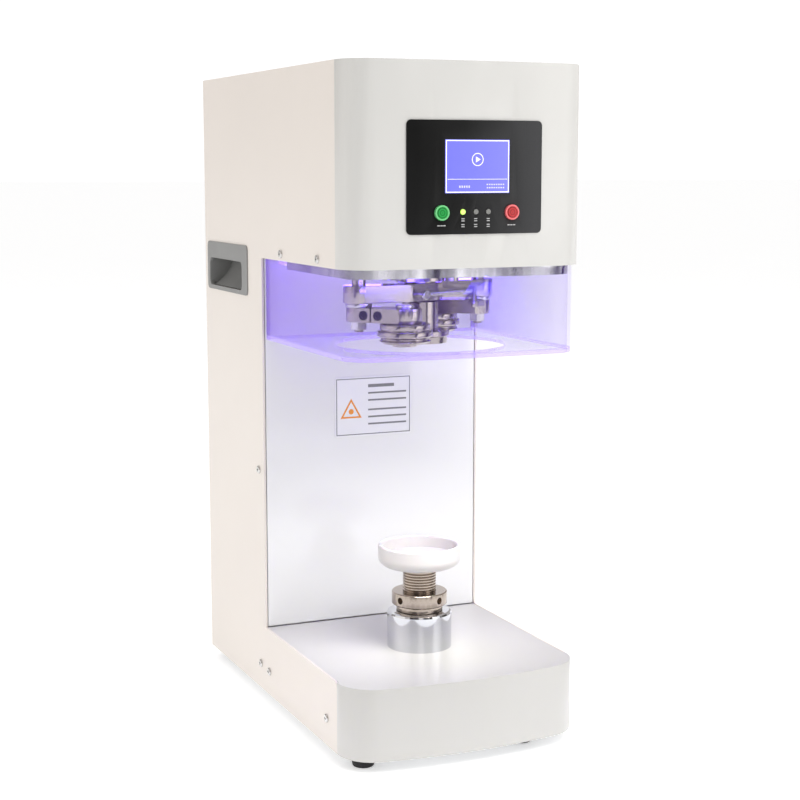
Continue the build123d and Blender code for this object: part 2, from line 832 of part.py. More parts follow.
cam_lobe_radius = 12.0
cam_lobe_angle = follower_angle - cam_dwell_angle
with BuildPart() as cam_sleeve:
    with BuildSketch(Plane.XY.offset(cam_bottom_z)):
        with Locations(can_axis):
            Circle(cam_low_radius)
        for turn in (0, 180):
            lobe_reach = cam_low_radius + cam_lift - cam_lobe_radius
            with Locations(around_axis(lobe_reach, cam_lobe_angle + turn)):
                Circle(cam_lobe_radius)
        make_hull()
    extrude(amount=cam_top_z - cam_bottom_z)
    with BuildSketch(Plane.XY.offset(cam_bottom_z)):
        with Locations(can_axis):
            Circle(cam_sleeve_radius)
    extrude(amount=cam_pulley_z + pulley_width - cam_bottom_z)
    with BuildSketch(Plane.XZ.offset(-can_axis_y)):
        with BuildLine():
            Polyline(*pulley_points(cam_sleeve_radius - 1, cam_pulley_radius, cam_pulley_z), close=True)
        make_face()
    revolve(axis=can_line)
    with BuildSketch(Plane.XY.offset(cam_bottom_z)):
        with Locations(can_axis):
            Circle(spindle_radius + fit)
    extrude(amount=cam_pulley_z + pulley_width - cam_bottom_z, mode=Mode.SUBTRACT)
finish(cam_sleeve, "cam_sleeve")

with BuildPart() as shaft_bridge:
    with BuildSketch(Plane.XY.offset(bridge_z)):
        with Locations(can_axis):
            RectangleRounded(2 * bridge_post_x + 24, 30, 6)
            Circle(chuck_shaft_radius, mode=Mode.SUBTRACT)
    extrude(amount=bridge_thick)
    with BuildSketch(Plane.XY.offset(head_plate_top_z)):
        with Locations(can_axis):
            with GridLocations(2 * bridge_post_x, 1, 2, 1):
                Circle(bridge_post_radius)
    extrude(amount=bridge_z - head_plate_top_z)
finish(shaft_bridge, "shaft_bridge")

# ---------------------------------------------------------------- motor and belts
motor_place = (0, motor_y)
motor_top_z = head_plate_top_z + motor_height
with BuildPart() as seamer_motor:
    with BuildSketch(Plane.XY.offset(head_plate_top_z)):
        with Locations(motor_place):
            Circle(motor_radius)
    extrude(amount=motor_height)
    with BuildSketch(Plane.XY.offset(head_plate_top_z + 12)):
        with Locations(motor_place):
            Circle(motor_radius)
            Circle(motor_radius - 1.5, mode=Mode.SUBTRACT)
    extrude(amount=motor_height - 24, mode=Mode.SUBTRACT)
    with BuildSketch(Plane.XY.offset(motor_top_z - 20)):
        with Locations(motor_place):
            Circle(motor_shaft_radius + fit)
    extrude(amount=20, mode=Mode.SUBTRACT)
finish(seamer_motor, "seamer_motor")

motor_pulley_radius = pulley_radius(motor_pulley_teeth)
with BuildPart() as motor_pulley:
    with BuildSketch(Plane.XY.offset(motor_top_z - 19.5)):
        with Locations(motor_place):
            Circle(motor_shaft_radius)
    extrude(amount=spindle_pulley_z + pulley_width + 3 - motor_top_z + 19.5)
    with BuildSketch(Plane.XY.offset(cam_pulley_z)):
        with Locations(motor_place):
            Circle(motor_pulley_radius)
    extrude(amount=spindle_pulley_z + pulley_width - cam_pulley_z)
    for bottom in (cam_pulley_z, spindle_pulley_z):
        for flange_z in (bottom, bottom + pulley_width - 1.2):
            with BuildSketch(Plane.XY.offset(flange_z)):
                with Locations(motor_place):
                    Circle(motor_pulley_radius + 2)
            extrude(amount=1.2)
finish(motor_pulley, "motor_pulley")


def belt_outline(big_radius, small_radius):
    """Area inside a belt line round the spindle and motor pulleys."""
    with BuildSketch() as loop:
        with Locations(can_axis):
            Circle(big_radius)
        with Locations(motor_place):
            Circle(small_radius)
        make_hull()
    return loop.sketch


belts = []
for bottom, radius in ((cam_pulley_z, cam_pulley_radius), (spindle_pulley_z, spindle_pulley_radius)):
    inside = belt_outline(radius + clear, motor_pulley_radius + clear)
    outside = belt_outline(radius + clear + belt_thick, motor_pulley_radius + clear + belt_thick)
    belts.append((bottom + (pulley_width - belt_width) / 2, inside, outside))

with BuildPart() as drive_belts:
    for bottom, inside, outside in belts:
        with BuildSketch(Plane.XY.offset(bottom)):
            add(outside)
            add(inside, mode=Mode.SUBTRACT)
        extrude(amount=belt_width)
finish(drive_belts, "drive_belts")

# ---------------------------------------------------------------- roller carrier
carrier_end_reach = 28.9
carrier_end_angle = 220.7
carrier_end_radius = 9.0
hub_radius = 17.5
anchor_along = 20.0  # spring screw's place along the set-back face, from where it leaves the hub
spring_stand_off = 4.0
spring_screw_radius = 2.0
spring_screw_head = 4.2
post_offset = 20.0
post_side_angle = 40.4  # from the pivot circle's angle to the spring post's side
with BuildPart() as roller_carrier:
    for turn in (0, 180):
        with BuildSketch(Plane.XY.offset(carrier_bottom_z)):
            with Locations(around_axis(pivot_circle_radius, pivot_angle + turn)):
                Circle(pivot_boss_radius)
            with Locations(around_axis(carrier_end_reach, carrier_end_angle + turn)):
                Circle(carrier_end_radius)
            make_hull()
        extrude(amount=carrier_top_z - carrier_bottom_z)
        with BuildSketch(Plane.XY.offset(carrier_bottom_z)):
            with Locations(around_axis(carrier_end_reach, carrier_end_angle + turn)):
                Circle(carrier_end_radius)
            with Locations(can_axis):
                Circle(hub_radius)
            make_hull()
        extrude(amount=carrier_top_z - carrier_bottom_z)
    with BuildSketch(Plane.XY.offset(carrier_bottom_z)):
        with Locations(can_axis):
            Circle(hub_radius)
    extrude(amount=carrier_top_z - carrier_bottom_z)
    with BuildSketch(Plane.XY.offset(carrier_bottom_z)):
        with Locations(can_axis):
            Circle(spindle_radius)
        for turn in (0, 180):
            with Locations(around_axis(pivot_circle_radius, pivot_angle + turn)):
                Circle(pivot_pin_radius + fit)
    extrude(amount=carrier_top_z - carrier_bottom_z, mode=Mode.SUBTRACT)
finish(roller_carrier, "roller_carrier")

setback_angle = carrier_end_angle + degrees(acos((hub_radius - carrier_end_radius) / carrier_end_reach))


def anchor_place(turn, out):
    """Plan point over the spring screw's foot, a distance out from the set-back face."""
    angle = radians(setback_angle + turn)
    reach = hub_radius + out
    x = reach * cos(angle) + anchor_along * sin(angle)
    y = reach * sin(angle) - anchor_along * cos(angle)
    return (x, can_axis_y + y)


with BuildPart() as spring_screws:
    for turn in (0, 180):
        outward = (cos(radians(setback_angle + turn)), sin(radians(setback_angle + turn)), 0)
        shank = spring_stand_off + spring_radius + clear
        with BuildSketch(Plane(origin=(*anchor_place(turn, 0), spring_z), z_dir=outward)):
            Circle(spring_screw_radius)
        extrude(amount=shank)
        with BuildSketch(Plane(origin=(*anchor_place(turn, shank), spring_z), z_dir=outward)):
            Circle(spring_screw_head)
        extrude(amount=2.4)
finish(spring_screws, "spring_screws")


def post_place(index):
    """Plan place of the spring post on one roller arm."""
    angle = pivot_angle + 180 * (index - 1)
    pivot = around_axis(pivot_circle_radius, angle)
    side = angle + post_side_angle
    return (pivot[0] - post_offset * cos(radians(side)), pivot[1] - post_offset * sin(radians(side)))


with BuildPart() as return_springs:
    for index, turn in ((2, 0), (1, 180)):
        start = Vector(*anchor_place(turn, spring_stand_off), spring_z)
        end = Vector(*post_place(index), spring_z)
        along = (end - start).normalized()
        first = start + along * 4.5
        last = end - along * 4.5
        with BuildSketch(Plane(origin=first, z_dir=along)):
            Circle(spring_radius)
        extrude(amount=(last - first).length)
finish(return_springs, "return_springs")


# ---------------------------------------------------------------- roller arms, two alike at half a turn
def roller_arm_pieces(index):
    """Arm, crank pin, nut, cam follower and seaming roller of one side of the carrier."""
    turn = 180 * (index - 1)
    pivot = around_axis(pivot_circle_radius, pivot_angle + turn)
    roller_place = around_axis(roller_circle_radius, roller_angle + turn)
    follower_reach = cam_low_radius + clear + follower_radius
    follower_place = around_axis(follower_reach, follower_angle + turn)
    post = post_place(index)
    arm_height = arm_top_z - arm_bottom_z
    arm_angle = degrees(atan2(roller_place[1] - pivot[1], roller_place[0] - pivot[0]))
    arm_length = dist(pivot, roller_place)

    with BuildPart() as arm:
        with BuildSketch(Plane.XY.offset(arm_bottom_z)):
            with Locations(pivot):
                Circle(arm_pivot_radius + 2)
            with Locations(roller_place):
                Circle(arm_roller_radius)
            make_hull()
        extrude(amount=arm_height)
        with BuildSketch(Plane.XY.offset(arm_top_z - 5)):
            with Locations(pivot):
                Circle(arm_pivot_radius)
            with Locations(post):
                Circle(4.5)
            make_hull()
        extrude(amount=5)
        with BuildSketch(Plane.XY.offset(arm_top_z)):
            with Locations(post):
                Circle(2)
        extrude(amount=spring_z + 3.5 - arm_top_z)
        with BuildSketch(Plane.XY.offset(arm_bottom_z)):
            with Locations(pivot):
                Circle(pivot_pin_radius)
            with Locations(roller_place):
                Circle(roller_pin_radius)
            with Locations(Location((pivot[0], pivot[1], 0), (0, 0, arm_angle))):
                with Locations((arm_length * slit_share, -slit_start)):
                    Rectangle(slit_width, arm_roller_radius, align=(Align.CENTER, Align.MAX))
        extrude(amount=arm_height, mode=Mode.SUBTRACT)
    finish(arm, f"roller_arm_{index}")

    with BuildPart() as crank_pin:
        with BuildSketch(Plane.XY.offset(arm_bottom_z - nut_height - pin_end)):
            with Locations(pivot):
                Circle(pin_thread_radius)
        extrude(amount=nut_height + pin_end)
        with BuildSketch(Plane.XY.offset(arm_bottom_z)):
            with Locations(pivot):
                Circle(pivot_pin_radius)
        extrude(amount=crank_top_z - arm_bottom_z)
        with BuildSketch(Plane.XY.offset(crank_bottom_z)):
            with Locations(pivot):
                Circle(arm_pivot_radius)
            with Locations(follower_place):
                Circle(crank_end_radius)
            make_hull()
        extrude(amount=crank_top_z - crank_bottom_z)
        with BuildSketch(Plane.XY.offset(cam_bottom_z)):
            with Locations(follower_place):
                Circle(follower_pin_radius)
        extrude(amount=crank_bottom_z - cam_bottom_z)
    finish(crank_pin, f"crank_pin_{index}")

    with BuildPart() as fixings:
        with BuildSketch(Plane.XY.offset(arm_bottom_z - nut_height)):
            with Locations(pivot):
                RegularPolygon(nut_across_flats / 2, 6, major_radius=False)
                Circle(pin_thread_radius, mode=Mode.SUBTRACT)
        extrude(amount=nut_height)
        with BuildSketch(Plane.XY.offset(arm_top_z)):
            with Locations(pivot):
                Circle(pivot_boss_radius - 2)
                Circle(pivot_pin_radius, mode=Mode.SUBTRACT)
        extrude(amount=carrier_bottom_z - arm_top_z - fit)
        with BuildSketch(Plane.XY.offset(roller_bottom_z + 1.5)):
            with Locations(roller_place):
                Circle(roller_pin_radius)
        extrude(amount=arm_top_z - roller_bottom_z - 1.5)
        with BuildSketch(Plane.XY.offset(arm_top_z)):
            with Locations(roller_place):
                Circle(roller_pin_radius + 3)
        extrude(amount=3)
    finish(fixings, f"arm_fixings_{index}")

    with BuildPart() as follower:
        with BuildSketch(Plane.XY.offset(cam_bottom_z)):
            with Locations(follower_place):
                Circle(follower_radius)
                Circle(follower_pin_radius + fit, mode=Mode.SUBTRACT)
        extrude(amount=crank_bottom_z - cam_bottom_z - 0.2)
    finish(follower, f"cam_follower_{index}")

    groove = 1.6 if index == 1 else 1.0  # the first roller curls the seam, the second presses it flat
    groove_z = chuck_bottom_z + 8.5
    bore = roller_pin_radius + fit
    roller_line = Axis((roller_place[0], roller_place[1], 0), (0, 0, 1))
    with BuildPart() as roller:
        with BuildSketch(Plane(origin=(*roller_place, 0), x_dir=(1, 0, 0), z_dir=(0, -1, 0))):
            with BuildLine():
                Polyline(
                    (bore, roller_bottom_z),
                    (10, roller_bottom_z),
                    (11, roller_bottom_z + 0.8),
                    (11, roller_bottom_z + 2.4),
                    (roller_radius - 5.5, roller_bottom_z + 2.4),
                    (roller_radius - 1.5, groove_z - 1.6),
                    (roller_radius - 1.5 - groove, groove_z - 0.4),
                    (roller_radius - 1.5 - groove, groove_z + 0.8),
                    (roller_radius - 0.6, groove_z + 2.0),
                    (roller_radius, groove_z + 2.8),
                    (roller_radius, groove_z + 6.6),
                    (roller_radius - 0.8, groove_z + 7.4),
                    (roller_radius - 3.2, groove_z + 7.4),
                    (roller_radius - 3.2, groove_z + 8.2),
                    (roller_radius - 2.2, groove_z + 8.2),
                    (roller_radius - 2.2, roller_top_z - 0.8),
                    (roller_radius - 3, roller_top_z),
                    (bore, roller_top_z),
                    close=True,
                )
            make_face()
        revolve(axis=roller_line)
    finish(roller, f"seaming_roller_{index}")


for side_index in (1, 2):
    roller_arm_pieces(side_index)

# ---------------------------------------------------------------- lift
turned(
    [
        (bush_radius, lift_frame_top_z - lift_frame_plate),
        (sleeve_spigot_radius, lift_frame_top_z - lift_frame_plate),
        (sleeve_spigot_radius, base_top_z),
        (sleeve_radius, base_top_z),
        (sleeve_radius, sleeve_top_z - 2.2),
        (sleeve_radius - 0.7, sleeve_top_z - 0.7),
        (sleeve_radius - 2.2, sleeve_top_z),
        (bush_radius, sleeve_top_z),
    ],
    "lift_sleeve",
)

turned(
    [
        (lift_rod_radius + fit, lift_frame_top_z + 4),
        (bush_radius, lift_frame_top_z + 4),
        (bush_radius, sleeve_top_z - 1),
        (lift_rod_radius + fit, sleeve_top_z - 1),
    ],
    "guide_bush",
)

spigot_radius = post_radius - 3
post_spigot_bottom_z = neck_top_z - 18
screw_room = lift_screw_radius + 1
turned(
    [
        (screw_bore_radius, lift_rod_bottom_z),
        (lift_rod_radius, lift_rod_bottom_z),
        (lift_rod_radius, neck_bottom_z),
        (neck_radius, neck_bottom_z),
        (neck_radius, neck_top_z - 0.6),
        (neck_radius - 0.6, neck_top_z),
        (spigot_radius + fit, neck_top_z),
        (spigot_radius + fit, post_spigot_bottom_z - 1),
        (screw_room, post_spigot_bottom_z - 1),
        (screw_room, lift_rod_bottom_z + 16),
        (screw_bore_radius, lift_rod_bottom_z + 16),
    ],
    "lift_rod",
)

with BuildPart() as lock_ring:
    with BuildSketch(Plane.XY.offset(ring_bottom_z)):
        with Locations(can_axis):
            Circle(lock_ring_radius)
    extrude(amount=lock_ring_height)
    chamfer(lock_ring.edges().filter_by(GeomType.CIRCLE), 0.8)
    with BuildSketch(Plane.XY.offset(ring_bottom_z)):
        with Locations(can_axis):
            Circle(post_radius + fit)
    extrude(amount=lock_ring_height, mode=Mode.SUBTRACT)
    ring_middle = (0, can_axis_y, ring_bottom_z + lock_ring_height / 2)
    for angle in (22, 112, 202, 292):
        outward = (cos(radians(angle)), sin(radians(angle)), 0)
        with BuildSketch(Plane(origin=ring_middle, z_dir=outward).offset(lock_ring_radius - 6)):
            Circle(spanner_hole_radius)
        extrude(amount=8, mode=Mode.SUBTRACT)
finish(lock_ring, "lock_ring")

thread_bottom_z = neck_top_z + 0.1
thread_points = [(spigot_radius, thread_bottom_z), (post_radius, thread_bottom_z)]
thread_count = int((tray_bottom_z - 2 - thread_bottom_z) / thread_pitch)
for ridge in range(thread_count):
    ridge_z = thread_bottom_z + ridge * thread_pitch
    thread_points.append((post_radius, ridge_z + 0.35 * thread_pitch))
    thread_points.append((post_radius - thread_depth, ridge_z + 0.65 * thread_pitch))
    thread_points.append((post_radius, ridge_z + 0.95 * thread_pitch))
turned(
    [(0, post_spigot_bottom_z), (spigot_radius, post_spigot_bottom_z)]
    + thread_points
    + [(post_radius, tray_bottom_z), (8, tray_bottom_z), (8, tray_bottom_z + 6), (0, tray_bottom_z + 6)],
    "threaded_post",
)

with BuildPart() as can_tray:
    with BuildSketch(Plane.XZ.offset(-can_axis_y)):
        with BuildLine():
            lip = tray_radius - tray_recess_radius
            Polyline((8, tray_bottom_z), (tray_bottom_radius, tray_bottom_z))
            Bezier(
                (tray_bottom_radius, tray_bottom_z),
                (tray_bottom_radius + 9, tray_bottom_z),
                (tray_radius, tray_bottom_z + 3.5),
                (tray_radius, tray_bottom_z + 10),
            )
            Line((tray_radius, tray_bottom_z + 10), (tray_radius, tray_top_z - lip / 2))
            ThreePointArc(
                (tray_radius, tray_top_z - lip / 2),
                (tray_radius - lip / 2, tray_top_z),
                (tray_recess_radius, tray_top_z - lip / 2),
            )
            Polyline(
                (tray_recess_radius, tray_top_z - lip / 2),
                (tray_recess_radius, tray_floor_z),
                (0, tray_floor_z),
                (0, tray_bottom_z + 6),
                (8, tray_bottom_z + 6),
                (8, tray_bottom_z),
            )
        make_face()
    revolve(axis=can_line)
finish(can_tray, "can_tray")

screw_foot_z = lift_frame_bottom_z + 1
turned(
    [
        (0, screw_foot_z),
        (lift_screw_radius, screw_foot_z),
        (lift_screw_radius, post_spigot_bottom_z - 2),
        (0, post_spigot_bottom_z - 2),
    ],
    "lift_screw",
)

frame_height = lift_frame_top_z - lift_frame_bottom_z
with BuildPart() as lift_frame:
    with BuildSketch(Plane.XZ.offset(-can_axis_y - lift_frame_y)):
        with Locations((0, lift_frame_bottom_z)):
            Rectangle(2 * lift_frame_x, frame_height, align=(Align.CENTER, Align.MIN))
        with Locations((0, lift_frame_bottom_z + lift_frame_plate)):
            Rectangle(
                2 * (lift_frame_x - lift_frame_plate),
                frame_height - 2 * lift_frame_plate,
                align=(Align.CENTER, Align.MIN),
                mode=Mode.SUBTRACT,
            )
    extrude(amount=2 * lift_frame_y)
    with BuildSketch(Plane.XY.offset(lift_frame_top_z)):
        with Locations(can_axis):
            Circle(sleeve_spigot_radius)
    extrude(amount=-lift_frame_plate, mode=Mode.SUBTRACT)
    with BuildSketch(Plane.XY.offset(screw_foot_z)):
        with Locations(can_axis):
            Circle(screw_bore_radius)
    extrude(amount=lift_frame_plate, mode=Mode.SUBTRACT)
finish(lift_frame, "lift_frame")

gearbox_bottom_z = lift_frame_bottom_z + lift_frame_plate
gearbox_top_z = lift_rod_bottom_z - 1.5
gearbox_half = 18.0
lift_motor_radius = 15.0
lift_motor_z = gearbox_bottom_z + lift_motor_radius + 1
with BuildPart() as lift_gearmotor:
    with BuildSketch(Plane.XY.offset(gearbox_bottom_z)):
        with Locations(can_axis):
            RectangleRounded(2 * gearbox_half, 2 * gearbox_half, 4)
    extrude(amount=gearbox_top_z - gearbox_bottom_z)
    with BuildSketch(Plane.XZ.offset(-can_axis_y - gearbox_half)):
        with Locations((0, lift_motor_z)):
            Circle(lift_motor_radius)
    extrude(amount=-62)
    with BuildSketch(Plane.XY.offset(gearbox_bottom_z)):
        with Locations(can_axis):
            Circle(screw_bore_radius)
    extrude(amount=gearbox_top_z - gearbox_bottom_z, mode=Mode.SUBTRACT)
finish(lift_gearmotor, "lift_gearmotor")
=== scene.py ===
"""Finishes, springs, clamp screws and marks for a desktop can seaming machine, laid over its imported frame."""

import json
from math import cos, pi, radians, sin

import bmesh
import bpy
import numpy as np
from bpy.props import FloatProperty, FloatVectorProperty, IntProperty, PointerProperty
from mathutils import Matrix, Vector
from mathutils.bvhtree import BVHTree


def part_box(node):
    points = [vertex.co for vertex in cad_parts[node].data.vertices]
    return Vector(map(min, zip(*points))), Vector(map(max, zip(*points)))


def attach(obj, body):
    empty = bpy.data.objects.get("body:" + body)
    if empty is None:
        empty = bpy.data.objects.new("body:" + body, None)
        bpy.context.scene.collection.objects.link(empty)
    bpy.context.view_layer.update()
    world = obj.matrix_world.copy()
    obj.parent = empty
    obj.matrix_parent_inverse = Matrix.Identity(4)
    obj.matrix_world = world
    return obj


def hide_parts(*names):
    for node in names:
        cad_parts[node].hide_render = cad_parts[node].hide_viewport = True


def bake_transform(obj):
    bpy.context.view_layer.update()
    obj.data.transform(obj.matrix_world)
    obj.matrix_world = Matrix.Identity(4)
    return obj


bl_info = {
    "name": "Can seaming machine",
    "version": (1, 0, 0),
    "blender": (4, 5, 0),
    "location": "3D View > Sidebar > Seamer",
    "description": "Finishes and small pieces of a desktop can seaming machine",
    "category": "Object",
}

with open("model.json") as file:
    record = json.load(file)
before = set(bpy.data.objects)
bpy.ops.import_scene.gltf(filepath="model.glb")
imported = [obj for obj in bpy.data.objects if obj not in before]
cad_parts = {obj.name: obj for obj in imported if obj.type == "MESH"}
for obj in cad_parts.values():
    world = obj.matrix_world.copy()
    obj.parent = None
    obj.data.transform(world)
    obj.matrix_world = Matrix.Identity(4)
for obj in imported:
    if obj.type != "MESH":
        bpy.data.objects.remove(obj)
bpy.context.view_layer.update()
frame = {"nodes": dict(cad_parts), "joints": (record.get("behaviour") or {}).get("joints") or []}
nodes = frame["nodes"]
joints = {joint["name"]: joint for joint in frame["joints"]}
camera_place = (-0.596988, -1.402659, 0.502617)
camera_down = 0.14076  # radians below level
camera_turn = 0.413431  # radians towards +X
camera_lens = 73.718


def middle(node):
    """Middle of a node's box at rest."""
    low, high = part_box(node)
    return (low + high) / 2


# ---------------------------------------------------------------- sizes and colours
def length(name, description, default):
    return FloatProperty(name=name, description=description, default=default, unit="LENGTH", min=0.0)


def colour(name, description, default):
    return FloatVectorProperty(
        name=name, description=description, default=default, size=4, subtype="COLOR", min=0.0, max=1.0
    )


class SeamerSizes(bpy.types.PropertyGroup):
    """Sizes of the small pieces that the finishes add."""
    sheet_edge: length("Sheet edge", "Rounding of painted sheet edges", 0.0008)
    machined_edge: length("Machined edge", "Rounding of machined edges", 0.0004)
    spring_wire: length("Spring wire", "Radius of the return spring wire", 0.00042)
    spring_coil: length("Spring coil", "Radius of the return spring to the wire's middle", 0.0019)
    spring_turns: IntProperty(
        name="Spring turns", description="Turns of each return spring", default=34, min=3
    )
    clamp_screw: length("Clamp screw", "Radius of the clamp screw heads", 0.0041)
    mark_height: length("Mark height", "How far printed marks stand on their surface", 0.00008)
    diodes: IntProperty(name="Diodes", description="Diodes along the light strip", default=15, min=1)


class SeamerColours(bpy.types.PropertyGroup):
    """Colours of the machine."""
    # The body and the front covers share one white powder coat; the side colour is tinted warm as painted warm
    # light and the front colour darkened as painted shade.
    side_paint_warm_lit: colour("Side paint", "Powder coat of the body", (0.78, 0.72, 0.665, 1))
    front_paint_shaded: colour("Front paint", "Powder coat of the two front covers", (0.625, 0.615, 0.59, 1))
    gloss_white: colour("Gloss white", "Column front panel", (0.80, 0.80, 0.80, 1))
    steel: colour("Steel", "Ground steel", (0.40, 0.362, 0.335, 1))
    aluminium: colour("Aluminium", "Machined arms and carrier", (0.45, 0.41, 0.385, 1))
    stainless: colour("Stainless", "Threaded post and ring", (0.42, 0.36, 0.31, 1))
    glow: colour("Glow", "Light strip", (0.30, 0.12, 1.0, 1))
    screen: colour("Screen", "Screen back light", (0.20, 0.205, 0.96, 1))
    start: colour("Start", "Start button", (0.02, 0.38, 0.07, 1))
    stop: colour("Stop", "Stop button", (0.56, 0.015, 0.02, 1))
    lamp: colour("Lamp", "Lit indicator lamp", (0.55, 0.95, 0.06, 1))


def sizes():
    return bpy.context.scene.seamer_sizes


def colours():
    return bpy.context.scene.seamer_colours


# ---------------------------------------------------------------- finishes
class Finish:
    """A node material that is built up one effect at a time."""

    def __init__(self, name, base, metallic=0.0, roughness=0.5):
        self.material = bpy.data.materials.new(name)
        self.material.use_nodes = True
        self.tree = self.material.node_tree
        self.shader = self.tree.nodes["Principled BSDF"]
        self.base = tuple(base)[:3]
        self.roughness = roughness
        self.shader.inputs["Base Color"].default_value = (*self.base, 1)
        self.shader.inputs["Metallic"].default_value = metallic
        self.shader.inputs["Roughness"].default_value = roughness
        self.place = self.add("ShaderNodeTexCoord").outputs["Object"]

    def add(self, kind, **settings):
        node = self.tree.nodes.new(kind)
        for key, value in settings.items():
            setattr(node, key, value)
        return node

    def link(self, source, target):
        self.tree.links.new(source, target)

    def maths(self, operation, first, second=None, third=None):
        node = self.add("ShaderNodeMath", operation=operation)
        for index, value in enumerate((first, second, third)):
            if value is None:
                continue
            if isinstance(value, (int, float)):
                node.inputs[index].default_value = value
            else:
                self.link(value, node.inputs[index])
        return node.outputs[0]

    def parts(self):
        """X, Y and Z of the place on the piece."""
        split = self.add("ShaderNodeSeparateXYZ")
        self.link(self.place, split.inputs[0])
        return split.outputs

    def radius_from(self, centre, axes="XY"):
        """Distance from an axis through centre, square to the two named directions."""
        split = self.parts()
        squares = []
        for axis in axes:
            offset = self.maths("SUBTRACT", split[axis], centre["XYZ".index(axis)])
            squares.append(self.maths("MULTIPLY", offset, offset))
        return self.maths("SQRT", self.maths("ADD", *squares))

    def stretch(self, scale):
        """Draws the texture out, for brushed and rolled surfaces."""
        mapping = self.add("ShaderNodeMapping")
        mapping.inputs["Scale"].default_value = scale
        self.link(self.place, mapping.inputs["Vector"])
        self.place = mapping.outputs[0]
        return self

    def turned(self, centre):
        """Runs the texture in rings round a vertical axis, as a lathe leaves it."""
        radius = self.radius_from(centre)
        height = self.parts()["Z"]
        join = self.add("ShaderNodeCombineXYZ")
        ring_share = 0.1  # small, so the rings don't show the flats of a round face
        self.link(self.maths("MULTIPLY", radius, ring_share), join.inputs[0])
        self.link(height, join.inputs[2])
        self.place = join.outputs[0]
        return self

    def noise(self, scale, detail=3.0):
        noise = self.add("ShaderNodeTexNoise")
        noise.inputs["Scale"].default_value = scale
        noise.inputs["Detail"].default_value = detail
        self.link(self.place, noise.inputs["Vector"])
        return noise.outputs["Fac"]

    def ramp(self, value, stops, constant=False):
        ramp = self.add("ShaderNodeValToRGB")
        ramp.color_ramp.interpolation = "CONSTANT" if constant else "LINEAR"
        elements = ramp.color_ramp.elements
        while len(elements) < len(stops):
            elements.new(0.5)
        for element, (position, shade) in zip(elements, stops):
            element.position = position
            element.color = (*tuple(shade)[:3], 1)
        self.link(value, ramp.inputs[0])
        return ramp.outputs[0]

    def mottle(self, scale, spread):
        """Uneven colour: random tone, and on the polished plate painted reflection bands."""
        dark = [channel * (1 - spread) for channel in self.base]
        light = [min(1.0, channel * (1 + spread)) for channel in self.base]
        self.link(self.ramp(self.noise(scale), [(0.3, dark), (0.7, light)]), self.shader.inputs["Base Color"])
        return self

    def wear(self, scale, spread):
        """Uneven polish."""
        reach = self.add("ShaderNodeMapRange")
        reach.inputs["To Min"].default_value = max(0.02, self.roughness - spread)
        reach.inputs["To Max"].default_value = self.roughness + spread
        self.link(self.noise(scale, 5.0), reach.inputs["Value"])
        self.link(reach.outputs[0], self.shader.inputs["Roughness"])
        return self

    def relief(self, scale, strength, depth, detail=2.0):
        """Raised grain."""
        bump = self.add("ShaderNodeBump")
        bump.inputs["Strength"].default_value = strength
        bump.inputs["Distance"].default_value = depth
        self.link(self.noise(scale, detail), bump.inputs["Height"])
        self.link(bump.outputs[0], self.shader.inputs["Normal"])
        return self

    def set(self, **values):
        for key, value in values.items():
            self.shader.inputs[key.replace("_", " ")].default_value = value
        return self


def powder_coat(name, base, rough=0.36):
    return Finish(name, base, 0.0, rough).mottle(7, 0.012).wear(45, 0.04).relief(900, 0.06, 0.0002).material


def moulded(name, base, rough=0.5):
    return Finish(name, base, 0.0, rough).mottle(40, 0.04).wear(160, 0.05).relief(2200, 0.12, 0.0001).material


def plated(name, base, rough=0.2):
    return Finish(
        name, base, 1.0, rough
    ).mottle(90, 0.05).wear(240, 0.06).relief(1500, 0.03, 0.00005).material


def machined(name, base, rough=0.24):
    finish = Finish(name, base, 1.0, rough).stretch((160, 160, 2400))
    return finish.mottle(1.0, 0.05).wear(1.0, 0.07).relief(1.0, 0.05, 0.00004).material


def lathed(name, base, centre, rough=0.2):
    finish = Finish(name, base, 1.0, rough).turned(centre)
    return finish.mottle(900, 0.05).wear(1600, 0.06).relief(2600, 0.07, 0.00004).material


def dress(material, *names):
    """Puts a finish on frame nodes."""
    for name in names:
        slots = nodes[name].data.materials
        slots.clear()
        slots.append(material)


def soften(width, *names, angle=32):
    """Rounds the sharp edges of frame nodes with modifiers, so their own vertices stay put."""
    for name in names:
        piece = nodes[name]
        weld = piece.modifiers.new("Joined edges", "WELD")
        weld.merge_threshold = 0.000002
        flat = piece.modifiers.new("Flat faces", "DECIMATE")
        flat.decimate_type = "DISSOLVE"
        flat.angle_limit = radians(0.6)
        bevel = piece.modifiers.new("Rounded edges", "BEVEL")
        bevel.width = width
        bevel.segments = 2
        bevel.limit_method = "ANGLE"
        bevel.angle_limit = radians(angle)
        bevel.use_clamp_overlap = True
        bevel.harden_normals = True


# ---------------------------------------------------------------- small pieces
def as_piece(name, mesh, material, body):
    """Adds a mesh as a piece that rides on a body."""
    piece = bpy.data.objects.new(name, mesh)
    bpy.context.scene.collection.objects.link(piece)
    mesh.materials.append(material)
    if body:
        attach(piece, body)
    return piece


def lofted(name, loops, smooth=False, cap_start=True, cap_end=True):
    """Mesh through closed loops of equal length."""
    work = bmesh.new()
    rings = [[work.verts.new(point) for point in loop] for loop in loops]
    for first, second in zip(rings, rings[1:]):
        for index in range(len(first)):
            after = (index + 1) % len(first)
            work.faces.new((first[index], first[after], second[after], second[index]))
    if cap_start:
        work.faces.new(list(reversed(rings[0])))
    if cap_end:
        work.faces.new(rings[-1])
    bmesh.ops.recalc_face_normals(work, faces=work.faces)
    for face in work.faces:
        face.smooth = smooth
    mesh = bpy.data.meshes.new(name)
    work.to_mesh(mesh)
    work.free()
    return mesh


